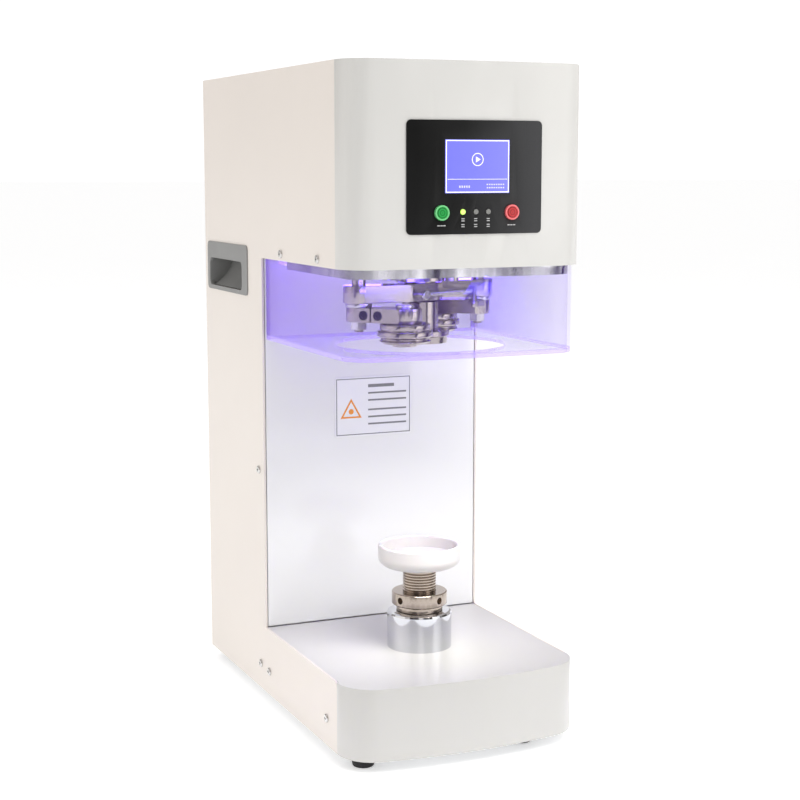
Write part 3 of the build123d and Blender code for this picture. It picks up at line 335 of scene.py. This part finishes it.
def socket_screw(name, place, outward, radius, material, body, stands=0.0012):
    """Cap screw head with a six-sided socket, standing on a face."""
    outward = Vector(outward).normalized()
    across = outward.orthogonal().normalized()
    up = outward.cross(across)
    count = 24

    def ring(reach, out, hexagon=False):
        points = []
        for index in range(count):
            angle = 2 * pi * index / count
            here = reach
            if hexagon:
                here = reach * cos(pi / 6) / cos((angle % (pi / 3)) - pi / 6)
            points.append(place + outward * out + (across * cos(angle) + up * sin(angle)) * here)
        return points

    chamfer = radius * 0.12
    loops = [
        ring(radius, -0.0006),
        ring(radius, stands - chamfer),
        ring(radius - chamfer, stands),
        ring(radius * 0.56, stands, True),
        ring(radius * 0.54, max(stands - 0.0011, 0.00015), True),
    ]
    return as_piece(name, lofted(name, loops), material, body)


def wire_mesh(name, points, radius, sides=8):
    """Round wire along points."""
    loops = []
    normal = None
    for index, point in enumerate(points):
        ahead = points[min(index + 1, len(points) - 1)] - points[max(index - 1, 0)]
        ahead.normalize()
        normal = ahead.orthogonal() if normal is None else normal - ahead * normal.dot(ahead)
        normal.normalize()
        side = ahead.cross(normal)
        ring = []
        for step in range(sides):
            angle = 2 * pi * step / sides
            ring.append(point + (normal * cos(angle) + side * sin(angle)) * radius)
        loops.append(ring)
    return lofted(name, loops, smooth=True)


def printed(name, shapes, surface, material, body, height=None):
    """Thin print on the front of a node. Each shape is a list of (x, z) corners."""
    height = height or sizes().mark_height
    mesh_data = nodes[surface].data
    corners = [vertex.co for vertex in mesh_data.vertices]
    tree = BVHTree.FromPolygons(corners, [tuple(face.vertices) for face in mesh_data.polygons])
    work = bmesh.new()
    for shape in shapes:
        front, back = [], []
        for x, z in shape:
            hit = tree.ray_cast(Vector((x, -1.0, z)), Vector((0, 1, 0)))[0]
            if hit is None:
                work.free()
                raise RuntimeError(f"{name} reaches past the edge of {surface}")
            front.append(work.verts.new((x, hit.y - height, z)))
            back.append(work.verts.new((x, hit.y + height, z)))
        work.faces.new(front)
        for index in range(len(shape)):
            after = (index + 1) % len(shape)
            work.faces.new((front[after], front[index], back[index], back[after]))
    bmesh.ops.recalc_face_normals(work, faces=work.faces)
    mesh = bpy.data.meshes.new(name)
    work.to_mesh(mesh)
    work.free()
    return as_piece(name, mesh, material, body)


def bar(x, z, width, tall):
    return [
        (x - width / 2, z - tall / 2), (x + width / 2, z - tall / 2), (x + width / 2, z + tall / 2),
        (x - width / 2, z + tall / 2)
    ]


def hoop(x, z, inner, outer, count=28):
    shapes = []
    for index in range(count):
        first, second = (2 * pi * (index + step) / count for step in (0, 1))
        shapes.append(
            [(x + reach * cos(angle), z + reach * sin(angle))
            for reach, angle in ((inner, first), (outer, first), (outer, second), (inner, second))]
        )
    return shapes


def outline(x, z, width, tall, line):
    sides = [bar(x, z + side * (tall - line) / 2, width, line) for side in (-1, 1)]
    return sides + [bar(x + side * (width - line) / 2, z, line, tall - 2 * line) for side in (-1, 1)]


# ---------------------------------------------------------------- operators
class PaintShell(bpy.types.Operator):
    """Paints the sheets and covers of the housing"""
    bl_idname = "seamer.paint_shell"
    bl_label = "Painted shell"

    def execute(self, context):
        # Two copies of one white powder coat: the side copy carries painted warm light, the front copy painted
        # shade.
        body = powder_coat("Powder coat side with painted warm light", colours().side_paint_warm_lit)
        front = powder_coat("Powder coat front with painted shade", colours().front_paint_shaded, 0.3)
        dress(body, "left_side_panel", "right_side_panel", "top_cover", "rear_cover")
        dress(front, "head_front_cover", "base_front_cover")
        soften(
            sizes().sheet_edge, "left_side_panel", "right_side_panel", "top_cover", "head_front_cover",
            "base_front_cover", "rear_cover"
        )
        gloss = Finish("Gloss white", colours().gloss_white, 0.0, 0.12)
        gloss.mottle(5, 0.01).wear(30, 0.03).relief(60, 0.02, 0.0003)
        dress(gloss.set(Coat_Weight=0.6, Coat_Roughness=0.05).material, "column_front_panel")
        soften(sizes().machined_edge, "column_front_panel")
        sheet = Finish("Galvanised sheet", (0.55, 0.56, 0.57), 1.0, 0.4)
        sheet.mottle(120, 0.14).wear(90, 0.1).relief(300, 0.05, 0.0001)
        dress(sheet.material, "base_plate", "column_frames", "lift_frame", "power_supply")
        return {"FINISHED"}


class ClearGuard(bpy.types.Operator):
    """Makes the clear guard, the polished plate above it and the light strip"""
    bl_idname = "seamer.clear_guard"
    bl_label = "Guard and light"

    def execute(self, context):
        glow = tuple(colours().glow)[:3]
        for name, plain, rim in (("guard_wall", 0.03, 0.3), ("guard_floor", 0.02, 0.45)):
            # The violet base colour is painted glow from the light strip; the sheet also grows more solid
            # towards the back, near the strip, as more painted violet glow.
            finish = Finish("Clear sheet with painted violet glow " + name, (0.36, 0.22, 0.9), 0.0, 0.05)
            facing = finish.add("ShaderNodeLayerWeight")
            facing.inputs["Blend"].default_value = 0.2
            cover = finish.maths("MULTIPLY_ADD", facing.outputs["Facing"], 0.22, plain)
            low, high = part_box(name)
            depth = finish.add("ShaderNodeMapRange")
            depth.inputs["From Min"].default_value = low.y
            depth.inputs["From Max"].default_value = high.y
            depth.inputs["To Max"].default_value = 0.38 if name == "guard_wall" else 0.12
            finish.link(finish.parts()["Y"], depth.inputs["Value"])
            cover = finish.maths("ADD", cover, depth.outputs[0])
            haze = finish.maths("MULTIPLY_ADD", finish.noise(14), 0.03, -0.015)
            cover = finish.maths("ADD", cover, haze)
            if name == "guard_floor":
                tilt = finish.add("ShaderNodeSeparateXYZ")
                finish.link(finish.add("ShaderNodeNewGeometry").outputs["Normal"], tilt.inputs[0])
                edge = finish.maths("SUBTRACT", 1.0, finish.maths("ABSOLUTE", tilt.outputs["Z"]))
            else:
                edge = finish.maths("LESS_THAN", finish.parts()["Z"], low.z + 0.0012)
            finish.link(
                finish.maths("MAXIMUM", cover, finish.maths("MULTIPLY", edge, rim)),
                finish.shader.inputs["Alpha"]
            )
            # Painted glow: the cut edges and the floor's hole rim emit a pale violet light.
            finish.link(finish.maths("MULTIPLY", edge, 0.3), finish.shader.inputs["Emission Strength"])
            finish.set(Emission_Color=(0.72, 0.62, 1.0, 1), IOR=1.49)
            dress(finish.material, name)
        plate = Finish("Polished plate with painted reflection bands", (0.36, 0.36, 0.36), 1.0, 0.08)
        # Painted reflection bands: the strong stretched colour change draws dark and bright bands along the
        # plate.
        plate.stretch((55, 55, 3)).mottle(1.0, 0.85).wear(4, 0.04).relief(9, 0.03, 0.00004)
        dress(plate.material, "head_plate")
        soften(sizes().machined_edge, "head_plate")
        strip = Finish("Light strip", (0.9, 0.9, 1.0), 0.0, 0.4).mottle(80, 0.02)
        strip.set(Emission_Color=(*glow, 1), Emission_Strength=2.0)
        dress(strip.material, "led_strip")
        low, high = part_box("led_strip")
        lens = Finish("Diode lens", (0.95, 0.95, 1.0), 0.0, 0.2).mottle(300, 0.03)
        lens.set(Emission_Color=(0.5, 0.4, 1.0, 1), Emission_Strength=4.0)
        count = sizes().diodes
        middle_y = (low.y + high.y) / 2
        for index in range(count):
            x = low.x + (high.x - low.x) * (index + 0.5) / count
            loops = []
            for reach, z in ((0.0024, low.z + 0.0004), (0.0024, low.z - 0.0006), (0.0017, low.z - 0.0011)):
                loops.append(
                    [Vector((x + reach * sx, middle_y + reach * sy, z))
                    for sx, sy in ((-1, -1), (1, -1), (1, 1), (-1, 1))]
                )
            name = f"diode_{index + 1}"
            as_piece(name, lofted(name, loops), lens.material, "housing")
        return {"FINISHED"}


class ControlPanel(bpy.types.Operator):
    """Makes the control panel, its screen picture, buttons and lamps"""
    bl_idname = "seamer.control_panel"
    bl_label = "Control panel"

    def execute(self, context):
        panel = Finish("Panel overlay", (0.018, 0.018, 0.019), 0.0, 0.34)
        panel.wear(70, 0.05).relief(3000, 0.08, 0.00006)
        low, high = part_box("control_panel")
        # Painted sheen: the black overlay is coloured lighter towards its right-hand end.
        sheen = panel.add("ShaderNodeMapRange")
        sheen.inputs["From Min"].default_value = low.x
        sheen.inputs["From Max"].default_value = high.x
        panel.link(
            panel.maths("ADD", panel.parts()["X"], panel.maths("MULTIPLY", panel.noise(20), 0.01)),
            sheen.inputs["Value"]
        )
        painted_sheen_tones = [(0.0, (0.006, 0.006, 0.006)), (0.45, (0.014, 0.014, 0.014)), (1.0, (0.05, 0.05, 0.052))]
        panel.link(panel.ramp(sheen.outputs[0], painted_sheen_tones), panel.shader.inputs["Base Color"])
        dress(panel.set(Specular_IOR_Level=0.1).material, "control_panel")
        soften(sizes().machined_edge, "control_panel")
        glass = tuple(colours().screen)[:3]
        screen = Finish("Back lit screen", (0.05, 0.05, 0.2), 0.0, 0.16).mottle(200, 0.05)
        low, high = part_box("display")
        across = screen.add("ShaderNodeMapRange")
        across.inputs["From Min"].default_value = low.x
        across.inputs["From Max"].default_value = high.x
        screen.link(screen.parts()["X"], across.inputs["Value"])
        bright = [min(1.0, channel * 1.2) for channel in glass]
        screen.link(
            screen.ramp(across.outputs[0], [(0.0, glass), (1.0, bright)]),
            screen.shader.inputs["Emission Color"]
        )
        screen.set(Emission_Strength=0.92)
        dress(screen.material, "display")

        pale = Finish("Screen line", (0.55, 0.55, 1.0), 0.0, 0.4).mottle(400, 0.02)
        pale.set(Emission_Color=(0.62, 0.60, 1.0, 1), Emission_Strength=0.95)
        centre = (low + high) / 2
        wide, tall = high.x - low.x, high.z - low.z
        lines = outline(centre.x, centre.z, wide - 0.0006, tall - 0.0006, 0.0009)
        lines.append(bar(centre.x, low.z + tall * 0.26, wide - 0.004, 0.0004))
        printed("screen_lines", lines, "display", pale.material, "housing")
        sign_z = centre.z + tall * 0.13
        sign = hoop(centre.x, sign_z, 0.0046, 0.0053)
        sign.append([
            (centre.x - 0.0016, sign_z - 0.0024), (centre.x + 0.0027, sign_z),
            (centre.x - 0.0016, sign_z + 0.0024)
        ])
        printed("screen_sign", sign, "display", pale.material, "housing")
        ticks = [
            bar(centre.x + step * 0.0021 + 0.009, low.z + tall * row, 0.0013, 0.0011) for step in range(8)
            for row in (0.1, 0.16)
        ]
        ticks += [
            bar(centre.x - 0.016 + step * 0.0021, low.z + tall * 0.12, 0.0012, 0.0018)
            for step in range(5)
        ]
        faint = Finish("Screen tick", (0.4, 0.4, 0.9), 0.0, 0.4).mottle(400, 0.02)
        faint.set(Emission_Color=(0.5, 0.48, 1.0, 1), Emission_Strength=0.85)
        printed("screen_ticks", ticks, "display", faint.material, "housing")

        for name, tone in (("start_button", colours().start), ("stop_button", colours().stop)):
            base = tuple(tone)[:3]
            cap = Finish("Cap " + name, base, 0.0, 0.22)
            low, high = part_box(name)
            reach = (high.x - low.x) / 2
            share = cap.maths("DIVIDE", cap.radius_from(middle(name), "XZ"), reach)
            # Painted shading of the cap: the dark centre and darker rings are painted shade, the pale rim a
            # painted highlight, and the weak emission in the cap colour a painted glow.
            painted_ring_shade = [channel * 0.25 for channel in base]
            painted_rim_highlight = [min(1.0, channel * 1.15 + 0.16) for channel in base]
            stops = [
                (0.0, (0.01, 0.01, 0.01)), (0.16, base), (0.34, painted_ring_shade), (0.46, base), (0.68, painted_ring_shade),
                (0.74, base), (0.84, painted_rim_highlight)
            ]
            cap.link(cap.ramp(share, stops), cap.shader.inputs["Base Color"])
            cap.relief(1800, 0.05, 0.00005)
            cap.set(Coat_Weight=0.5, Coat_Roughness=0.1, Emission_Color=(*base, 1), Emission_Strength=0.12)
            dress(cap.material, name)

        lens = Finish("Indicator lens", (0.22, 0.22, 0.21), 0.0, 0.25)
        lens.mottle(900, 0.1).relief(2500, 0.1, 0.00005)
        low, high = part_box("indicator_lamps")
        lit = lens.maths("LESS_THAN", lens.parts()["X"], low.x + (high.x - low.x) * 0.3)
        lens.link(lens.maths("MULTIPLY", lit, 1.3), lens.shader.inputs["Emission Strength"])
        lens.set(Emission_Color=tuple(colours().lamp))
        dress(lens.material, "indicator_lamps")

        ink = Finish("Pale ink", (0.5, 0.5, 0.5), 0.0, 0.5).mottle(900, 0.08).material
        marks = []
        for name in ("start_button", "stop_button"):
            spot = middle(name)
            marks += [
                bar(spot.x + step * 0.0026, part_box(name)[0].z - 0.0042, 0.0021, 0.0008)
                for step in (-1, 0, 1)
            ]
        lamp_low, lamp_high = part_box("indicator_lamps")
        reach = (lamp_high.x - lamp_low.x) / 2 - 0.0021
        lamp_x = (lamp_low.x + lamp_high.x) / 2
        for step in (-1, 0, 1):
            for down in (0.0035, 0.0052, 0.0082, 0.0099):
                marks.append(bar(lamp_x + step * reach, lamp_low.z - down, 0.0028, 0.0007))
        printed("panel_marks", marks, "control_panel", ink, "housing")
        return {"FINISHED"}


class WarningPlate(bpy.types.Operator):
    """Makes the small plate on the column, with a plain caution sign"""
    bl_idname = "seamer.warning_plate"
    bl_label = "Plate on the column"

    def execute(self, context):
        blank = Finish("Printed plate", (0.80, 0.80, 0.82), 0.0, 0.3)
        blank.mottle(25, 0.015).wear(60, 0.03).relief(1500, 0.03, 0.00005)
        dress(blank.material, "warning_plate")
        low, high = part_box("warning_plate")
        centre = (low + high) / 2
        wide, tall = high.x - low.x, high.z - low.z
        grey = Finish("Grey ink", (0.2, 0.2, 0.21), 0.0, 0.5).mottle(600, 0.08).material
        amber = Finish("Amber ink", (0.8, 0.29, 0.03), 0.0, 0.5).mottle(600, 0.05).material
        printed(
            "plate_border", outline(centre.x, centre.z, wide - 0.003, tall - 0.003, 0.0008),
            "warning_plate", grey, "housing"
        )
        x, z, reach = low.x + wide * 0.21, low.z + tall * 0.42, 0.0125
        triangle = []
        for index in range(3):
            corners = [(x + size * cos(radians(angle)), z + size * sin(radians(angle))) for size, angle in (
                (reach, 90 + 120 * index), (reach, 210 + 120 * index), (
                    reach * 0.74, 210 + 120 * index
                ), (reach * 0.74, 90 + 120 * index))]
            triangle.append(corners)
        triangle.append(
            [(x + 0.0026 * cos(2 * pi * step / 16), z + 0.0026 * sin(2 * pi * step / 16))
            for step in range(16)]
        )
        printed("plate_sign", triangle, "warning_plate", amber, "housing")
        rows = [
            bar(centre.x + wide * 0.18, low.z + tall * share, wide * 0.5, 0.0016)
            for share in (0.2, 0.32, 0.44, 0.6, 0.72)
        ]
        rows.append(bar(centre.x + wide * 0.1, low.z + tall * 0.84, wide * 0.34, 0.003))
        printed("plate_rows", rows, "warning_plate", grey, "housing")
        return {"FINISHED"}


class HousingFittings(bpy.types.Operator):
    """Makes the grips, housing screws, feet and power inlet"""
    bl_idname = "seamer.housing_fittings"
    bl_label = "Grips, screws and feet"

    def execute(self, context):
        dress(moulded("Grip plastic", (0.235, 0.235, 0.23), 0.42), "left_side_grip", "right_side_grip")
        soften(sizes().sheet_edge, "left_side_grip", "right_side_grip")
        dress(
            plated("Zinc plate", (0.62, 0.61, 0.60), 0.25), "housing_screws", "spring_screws",
            "arm_fixings_1", "arm_fixings_2"
        )
        soften(sizes().machined_edge, "spring_screws", "arm_fixings_1", "arm_fixings_2")
        dress(moulded("Foot rubber", (0.012, 0.012, 0.013), 0.7), "rubber_feet")
        dress(moulded("Belt rubber", (0.02, 0.02, 0.021), 0.65), "drive_belts")
        dress(moulded("Inlet plastic", (0.016, 0.016, 0.018), 0.4), "power_inlet")
        dress(moulded("Rocker plastic", (0.30, 0.012, 0.012), 0.3), "power_rocker")
        return {"FINISHED"}


class SeamingHead(bpy.types.Operator):
    """Finishes the carrier, arms, rollers and chuck, and adds the clamp screws"""
    bl_idname = "seamer.seaming_head"
    bl_label = "Seaming head"

    def execute(self, context):
        steel, light = colours().steel, colours().aluminium
        dress(machined("Machined arm", light), "roller_carrier", "roller_arm_1", "roller_arm_2")
        soften(sizes().machined_edge, "roller_carrier", "roller_arm_1", "roller_arm_2")
        dress(
            machined("Ground steel", steel), "crank_pin_1", "crank_pin_2", "cam_follower_1",
            "cam_follower_2"
        )
        axis = middle("seaming_chuck")
        turned = lathed("Turned steel", steel, axis, 0.18)
        dress(turned, "seaming_chuck", "chuck_shaft", "cam_sleeve", "spindle_tube", "spindle_bearings")
        for index in (1, 2):
            name = f"seaming_roller_{index}"
            dress(lathed(f"Seaming roller {index}", steel, middle(name), 0.17), name)
            soften(sizes().machined_edge, name)
        dark = Finish("Blackened screw", (0.016, 0.015, 0.018), 0.4, 0.38)
        dark = dark.mottle(700, 0.2).wear(900, 0.08).material
        for index in (1, 2):
            arm = nodes[f"roller_arm_{index}"].data
            tree = BVHTree.FromPolygons(
                [vertex.co for vertex in arm.vertices], [tuple(face.vertices) for face in arm.polygons]
            )
            pivot = Vector(joints[f"arm_{index}_swing"]["pos_m"])
            roller = middle(f"seaming_roller_{index}")
            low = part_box(f"roller_arm_{index}")[0].z
            along = Vector((roller.x - pivot.x, roller.y - pivot.y, 0))
            outward = Vector((along.y, -along.x, 0)).normalized()
            if outward.dot(pivot - axis) < 0:
                outward = -outward
            for number, share in enumerate((0.2, 0.52)):
                start = Vector((pivot.x, pivot.y, low + 0.0062)) + along * share
                hit, normal = tree.ray_cast(start + outward * 0.06, -outward)[:2]
                if hit is None:
                    raise RuntimeError(f"clamp screw {number + 1} misses arm {index}")
                socket_screw(
                    f"clamp_screw_{index}{number + 1}", hit, normal, sizes().clamp_screw, dark,
                    f"arm_{index}", 0.0007
                )
        return {"FINISHED"}


class ReturnSprings(bpy.types.Operator):
    """Winds the two return springs between the carrier and the arms"""
    bl_idname = "seamer.return_springs"
    bl_label = "Return springs"

    def execute(self, context):
        mesh = nodes["return_springs"].data
        places = [tuple(round(value, 6) for value in vertex.co) for vertex in mesh.vertices]
        group = {place: place for place in places}

        def root(place):
            while group[place] != place:
                place = group[place]
            return place

        for face in mesh.polygons:
            for corner in face.vertices:
                group[root(places[corner])] = root(places[face.vertices[0]])
        families = {}
        for place in group:
            families.setdefault(root(place), []).append(place)
        springs = sorted(
            (np.array(family) for family in families.values()), key=lambda family: family[:, 1].mean()
        )
        if len(springs) != 2:
            raise RuntimeError(f"found {len(springs)} springs instead of two")
        wire = plated("Spring wire", (0.62, 0.61, 0.63), 0.22)
        for index, here in zip((2, 1), springs):
            centre = here.mean(0)
            direction = np.linalg.svd(here - centre, full_matrices=False)[2][0]
            along = (here - centre) @ direction
            ends = [Vector(centre + direction * reach) for reach in (along.min(), along.max())]
            arm_x = middle(f"roller_arm_{index}").x
            ends.sort(key=lambda end: abs(end.x - arm_x), reverse=True)
            start, end = ends
            ahead = (end - start).normalized()
            side = Vector((0, 0, 1))
            other = ahead.cross(side)
            turns, coil = sizes().spring_turns, sizes().spring_coil
            points = [start - ahead * 0.0042, start - ahead * 0.002]
            steps = turns * 14
            for step in range(steps + 1):
                angle = 2 * pi * step / 14
                points.append(start.lerp(end, step / steps) + (side * cos(angle) + other * sin(angle)) * coil)
            points += [end + ahead * 0.002, end + ahead * 0.0042]
            name = f"return_spring_{index}"
            spring = as_piece(
                name, wire_mesh(name, points, sizes().spring_wire), wire, None
            )
            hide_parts("return_springs")
            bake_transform(spring)
        return {"FINISHED"}


class LiftAndTray(bpy.types.Operator):
    """Finishes the chrome sleeve, the threaded post, its ring and the tray"""
    bl_idname = "seamer.lift_and_tray"
    bl_label = "Lift and tray"

    def execute(self, context):
        axis = middle("lift_sleeve")
        chrome = Finish("Chrome", (0.64, 0.65, 0.68), 1.0, 0.07)
        chrome.turned(axis).mottle(300, 0.02).wear(500, 0.02)
        dress(chrome.material, "lift_sleeve")
        post = lathed("Turned stainless", colours().stainless, axis, 0.22)
        dress(post, "lift_rod", "lock_ring", "threaded_post", "lift_screw")
        soften(sizes().machined_edge, "lift_rod", "lock_ring")
        dress(Finish(
            "Bronze", (0.55, 0.33, 0.13), 1.0, 0.3
        ).turned(axis).mottle(400, 0.08).wear(600, 0.05).material, "guide_bush")
        tray = Finish("Tray plastic", (0.62, 0.595, 0.59), 0.0, 0.3)
        tray.mottle(20, 0.01).wear(80, 0.04).relief(1400, 0.05, 0.00006)
        dress(tray.set(Subsurface_Weight=0.1, Subsurface_Scale=0.002).material, "can_tray")
        return {"FINISHED"}


class DriveInside(bpy.types.Operator):
    """Finishes what sits inside the housing"""
    bl_idname = "seamer.drive_inside"
    bl_label = "Drive inside"

    def execute(self, context):
        dress(
            machined("Cast housing", (0.6, 0.6, 0.6), 0.34), "bearing_housing", "shaft_bridge",
            "motor_pulley", "spindle_pulley"
        )
        dress(moulded("Motor black", (0.02, 0.02, 0.022), 0.4), "seamer_motor", "lift_gearmotor")
        dress(moulded("Circuit board", (0.02, 0.16, 0.06), 0.35), "control_board")
        return {"FINISHED"}


class SoftStudio(bpy.types.Operator):
    """Sets the pale floor, the soft lights and the camera"""
    bl_idname = "seamer.soft_studio"
    bl_label = "Studio"

    def execute(self, context):
        scene = context.scene
        scene.view_settings.view_transform = "Standard"
        world = bpy.data.worlds.new("Soft white room")
        scene.world = world
        world.use_nodes = True
        tree = world.node_tree
        room = tree.nodes["Background"]
        room.inputs["Color"].default_value = (1, 1, 1, 1)
        room.inputs["Strength"].default_value = 0.62
        white = tree.nodes.new("ShaderNodeBackground")
        white.inputs["Color"].default_value = (1, 1, 1, 1)
        white.inputs["Strength"].default_value = 1.1
        reflected = tree.nodes.new("ShaderNodeBackground")
        split = tree.nodes.new("ShaderNodeSeparateXYZ")
        tree.links.new(tree.nodes.new("ShaderNodeTexCoord").outputs["Generated"], split.inputs[0])
        round_room = tree.nodes.new("ShaderNodeMath")
        round_room.operation = "ARCTAN2"
        tree.links.new(split.outputs["Y"], round_room.inputs[0])
        tree.links.new(split.outputs["X"], round_room.inputs[1])
        share = tree.nodes.new("ShaderNodeMapRange")
        share.inputs["From Min"].default_value = -pi
        share.inputs["From Max"].default_value = pi
        tree.links.new(round_room.outputs[0], share.inputs["Value"])
        bands = tree.nodes.new("ShaderNodeValToRGB")
        elements = bands.color_ramp.elements
        bands_seen = (
            (0.0, 0.5), (0.09, 0.9), (0.13, 0.08), (0.17, 0.1), (0.185, 1.0), (0.215, 1.0),
            (0.235, 0.12), (0.28, 0.22), (0.31, 1.0), (0.36, 0.9), (0.39, 0.15), (0.5, 0.7),
            (0.75, 0.35), (1.0, 0.5)
        )
        while len(elements) < len(bands_seen):
            elements.new(0.5)
        for element, (position, shade) in zip(elements, bands_seen):
            element.position = position
            element.color = (shade, shade * 0.94, shade * 0.9, 1)
        tree.links.new(share.outputs[0], bands.inputs[0])
        tree.links.new(bands.outputs[0], reflected.inputs["Color"])
        path = tree.nodes.new("ShaderNodeLightPath")
        choose = tree.nodes.new("ShaderNodeMixShader")
        tree.links.new(path.outputs["Is Glossy Ray"], choose.inputs[0])
        tree.links.new(room.outputs[0], choose.inputs[1])
        tree.links.new(reflected.outputs[0], choose.inputs[2])
        seen = tree.nodes.new("ShaderNodeMixShader")
        tree.links.new(path.outputs["Is Camera Ray"], seen.inputs[0])
        tree.links.new(choose.outputs[0], seen.inputs[1])
        tree.links.new(white.outputs[0], seen.inputs[2])
        tree.links.new(seen.outputs[0], tree.nodes["World Output"].inputs["Surface"])

        floor_mesh = bpy.data.meshes.new("Floor")
        reach = 60.0
        floor_mesh.from_pydata(
            [(-reach, -reach, 0), (reach, -reach, 0), (reach, reach, 0), (-reach, reach, 0)], [],
            [(0, 1, 2, 3)]
        )
        floor = bpy.data.objects.new("Floor", floor_mesh)
        scene.collection.objects.link(floor)
        pale = Finish("Pale floor", (0.93, 0.93, 0.93), 0.0, 0.8).mottle(2, 0.005)
        floor_mesh.materials.append(pale.set(Emission_Color=(1, 1, 1, 1), Emission_Strength=0.42).material)

        def card(name, place, aim, wide, tall, shade):
            mesh = bpy.data.meshes.new(name)
            mesh.from_pydata([
                (-wide / 2, -tall / 2, 0), (wide / 2, -tall / 2, 0), (wide / 2, tall / 2, 0),
                (-wide / 2, tall / 2, 0)
            ], [], [(0, 1, 2, 3)])
            board = bpy.data.objects.new(name, mesh)
            scene.collection.objects.link(board)
            board.location = place
            board.rotation_euler = (Vector(aim) - Vector(place)).to_track_quat("Z", "Y").to_euler()
            mesh.materials.append(Finish(name, shade, 0.0, 0.9).mottle(3, 0.05).material)
            for ray in ("camera", "diffuse", "shadow", "transmission", "volume_scatter"):
                setattr(board, "visible_" + ray, False)

        card("Dark card left", (-1.1, -0.9, 0.4), (0, -0.08, 0.35), 0.35, 1.4, (0.03, 0.022, 0.018))
        card("Dark card right", (0.55, -1.5, 0.4), (0, -0.08, 0.35), 0.3, 1.4, (0.03, 0.022, 0.018))
        card("Dark card side", (1.2, -0.3, 0.35), (0, -0.08, 0.35), 0.5, 1.2, (0.06, 0.05, 0.045))

        def lamp(name, place, aim, wide, tall, watts, tint=(1, 1, 1)):
            light = bpy.data.lights.new(name, "AREA")
            light.shape = "RECTANGLE"
            light.size, light.size_y = wide, tall
            light.energy = watts
            light.color = tint
            stand = bpy.data.objects.new(name, light)
            scene.collection.objects.link(stand)
            stand.location = place
            stand.visible_camera = False
            stand.rotation_euler = (Vector(aim) - Vector(place)).to_track_quat("-Z", "Y").to_euler()
            return light

        lamp("Key light", (0.62, -0.78, 0.62), (0.1, -0.1, 0.3), 0.5, 1.0, 1.9)
        lamp("Side light", (-1.8, 0.3, 0.8), (0, 0, 0.3), 1.4, 1.4, 4.5, (1.0, 0.95, 0.90))
        lamp("High light", (0.35, -1.1, 1.7), (0.05, -0.12, 0.1), 0.9, 0.7, 8.5)
        lamp("Floor light", (0, 1.2, 2.6), (0, 0.6, 0), 3.0, 3.0, 18.0)
        low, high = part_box("led_strip")
        strip = (low + high) / 2
        violet = (0.17, 0.09, 1.0)
        under = lamp(
            "Strip light", (0, low.y - 0.002, low.z - 0.004), (0, strip.y - 0.06, 0.36), 0.19, 0.012,
            0.15, violet
        )
        under.spread = radians(150)
        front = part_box("guard_wall")[0].y + 0.012
        lamp(
            "Front strip light", (-0.03, front, low.z - 0.012), (0, -0.085, 0.38), 0.11, 0.01, 0.06,
            (0.14, 0.09, 1.0)
        )
        lamp(
            "Throat light", (0.0, -0.19, 0.325), (0.0, -0.06, 0.06), 0.17, 0.05, 0.14, (1.0, 0.99, 0.97)
        ).spread = radians(80)

        view = bpy.data.cameras.new("Camera")
        view.sensor_width = 36
        view.lens = camera_lens
        camera = bpy.data.objects.new("Camera", view)
        scene.collection.objects.link(camera)
        camera.location = camera_place
        camera.rotation_euler = (pi / 2 - camera_down, 0, -camera_turn)
        scene.camera = camera
        return {"FINISHED"}


class SeamerPanel(bpy.types.Panel):
    """Lists the steps that finish the machine"""
    bl_idname = "SEAMER_PT_steps"
    bl_label = "Can seaming machine"
    bl_space_type = "VIEW_3D"
    bl_region_type = "UI"
    bl_category = "Seamer"

    def draw(self, context):
        for step in steps:
            self.layout.operator(step.bl_idname)
        for group in (context.scene.seamer_sizes, context.scene.seamer_colours):
            box = self.layout.box()
            for key in type(group).__annotations__:
                box.prop(group, key)


steps = (
    PaintShell, ClearGuard, ControlPanel, WarningPlate, HousingFittings, SeamingHead, ReturnSprings,
    LiftAndTray, DriveInside, SoftStudio
)
classes = (SeamerSizes, SeamerColours, *steps, SeamerPanel)


def register():
    for item in classes:
        bpy.utils.register_class(item)
    bpy.types.Scene.seamer_sizes = PointerProperty(type=SeamerSizes)
    bpy.types.Scene.seamer_colours = PointerProperty(type=SeamerColours)


def unregister():
    del bpy.types.Scene.seamer_colours
    del bpy.types.Scene.seamer_sizes
    for item in reversed(classes):
        bpy.utils.unregister_class(item)


def main():
    register()
    for step in steps:
        group, name = step.bl_idname.split(".")
        getattr(getattr(bpy.ops, group), name)()


if __name__ == "__main__":
    main()
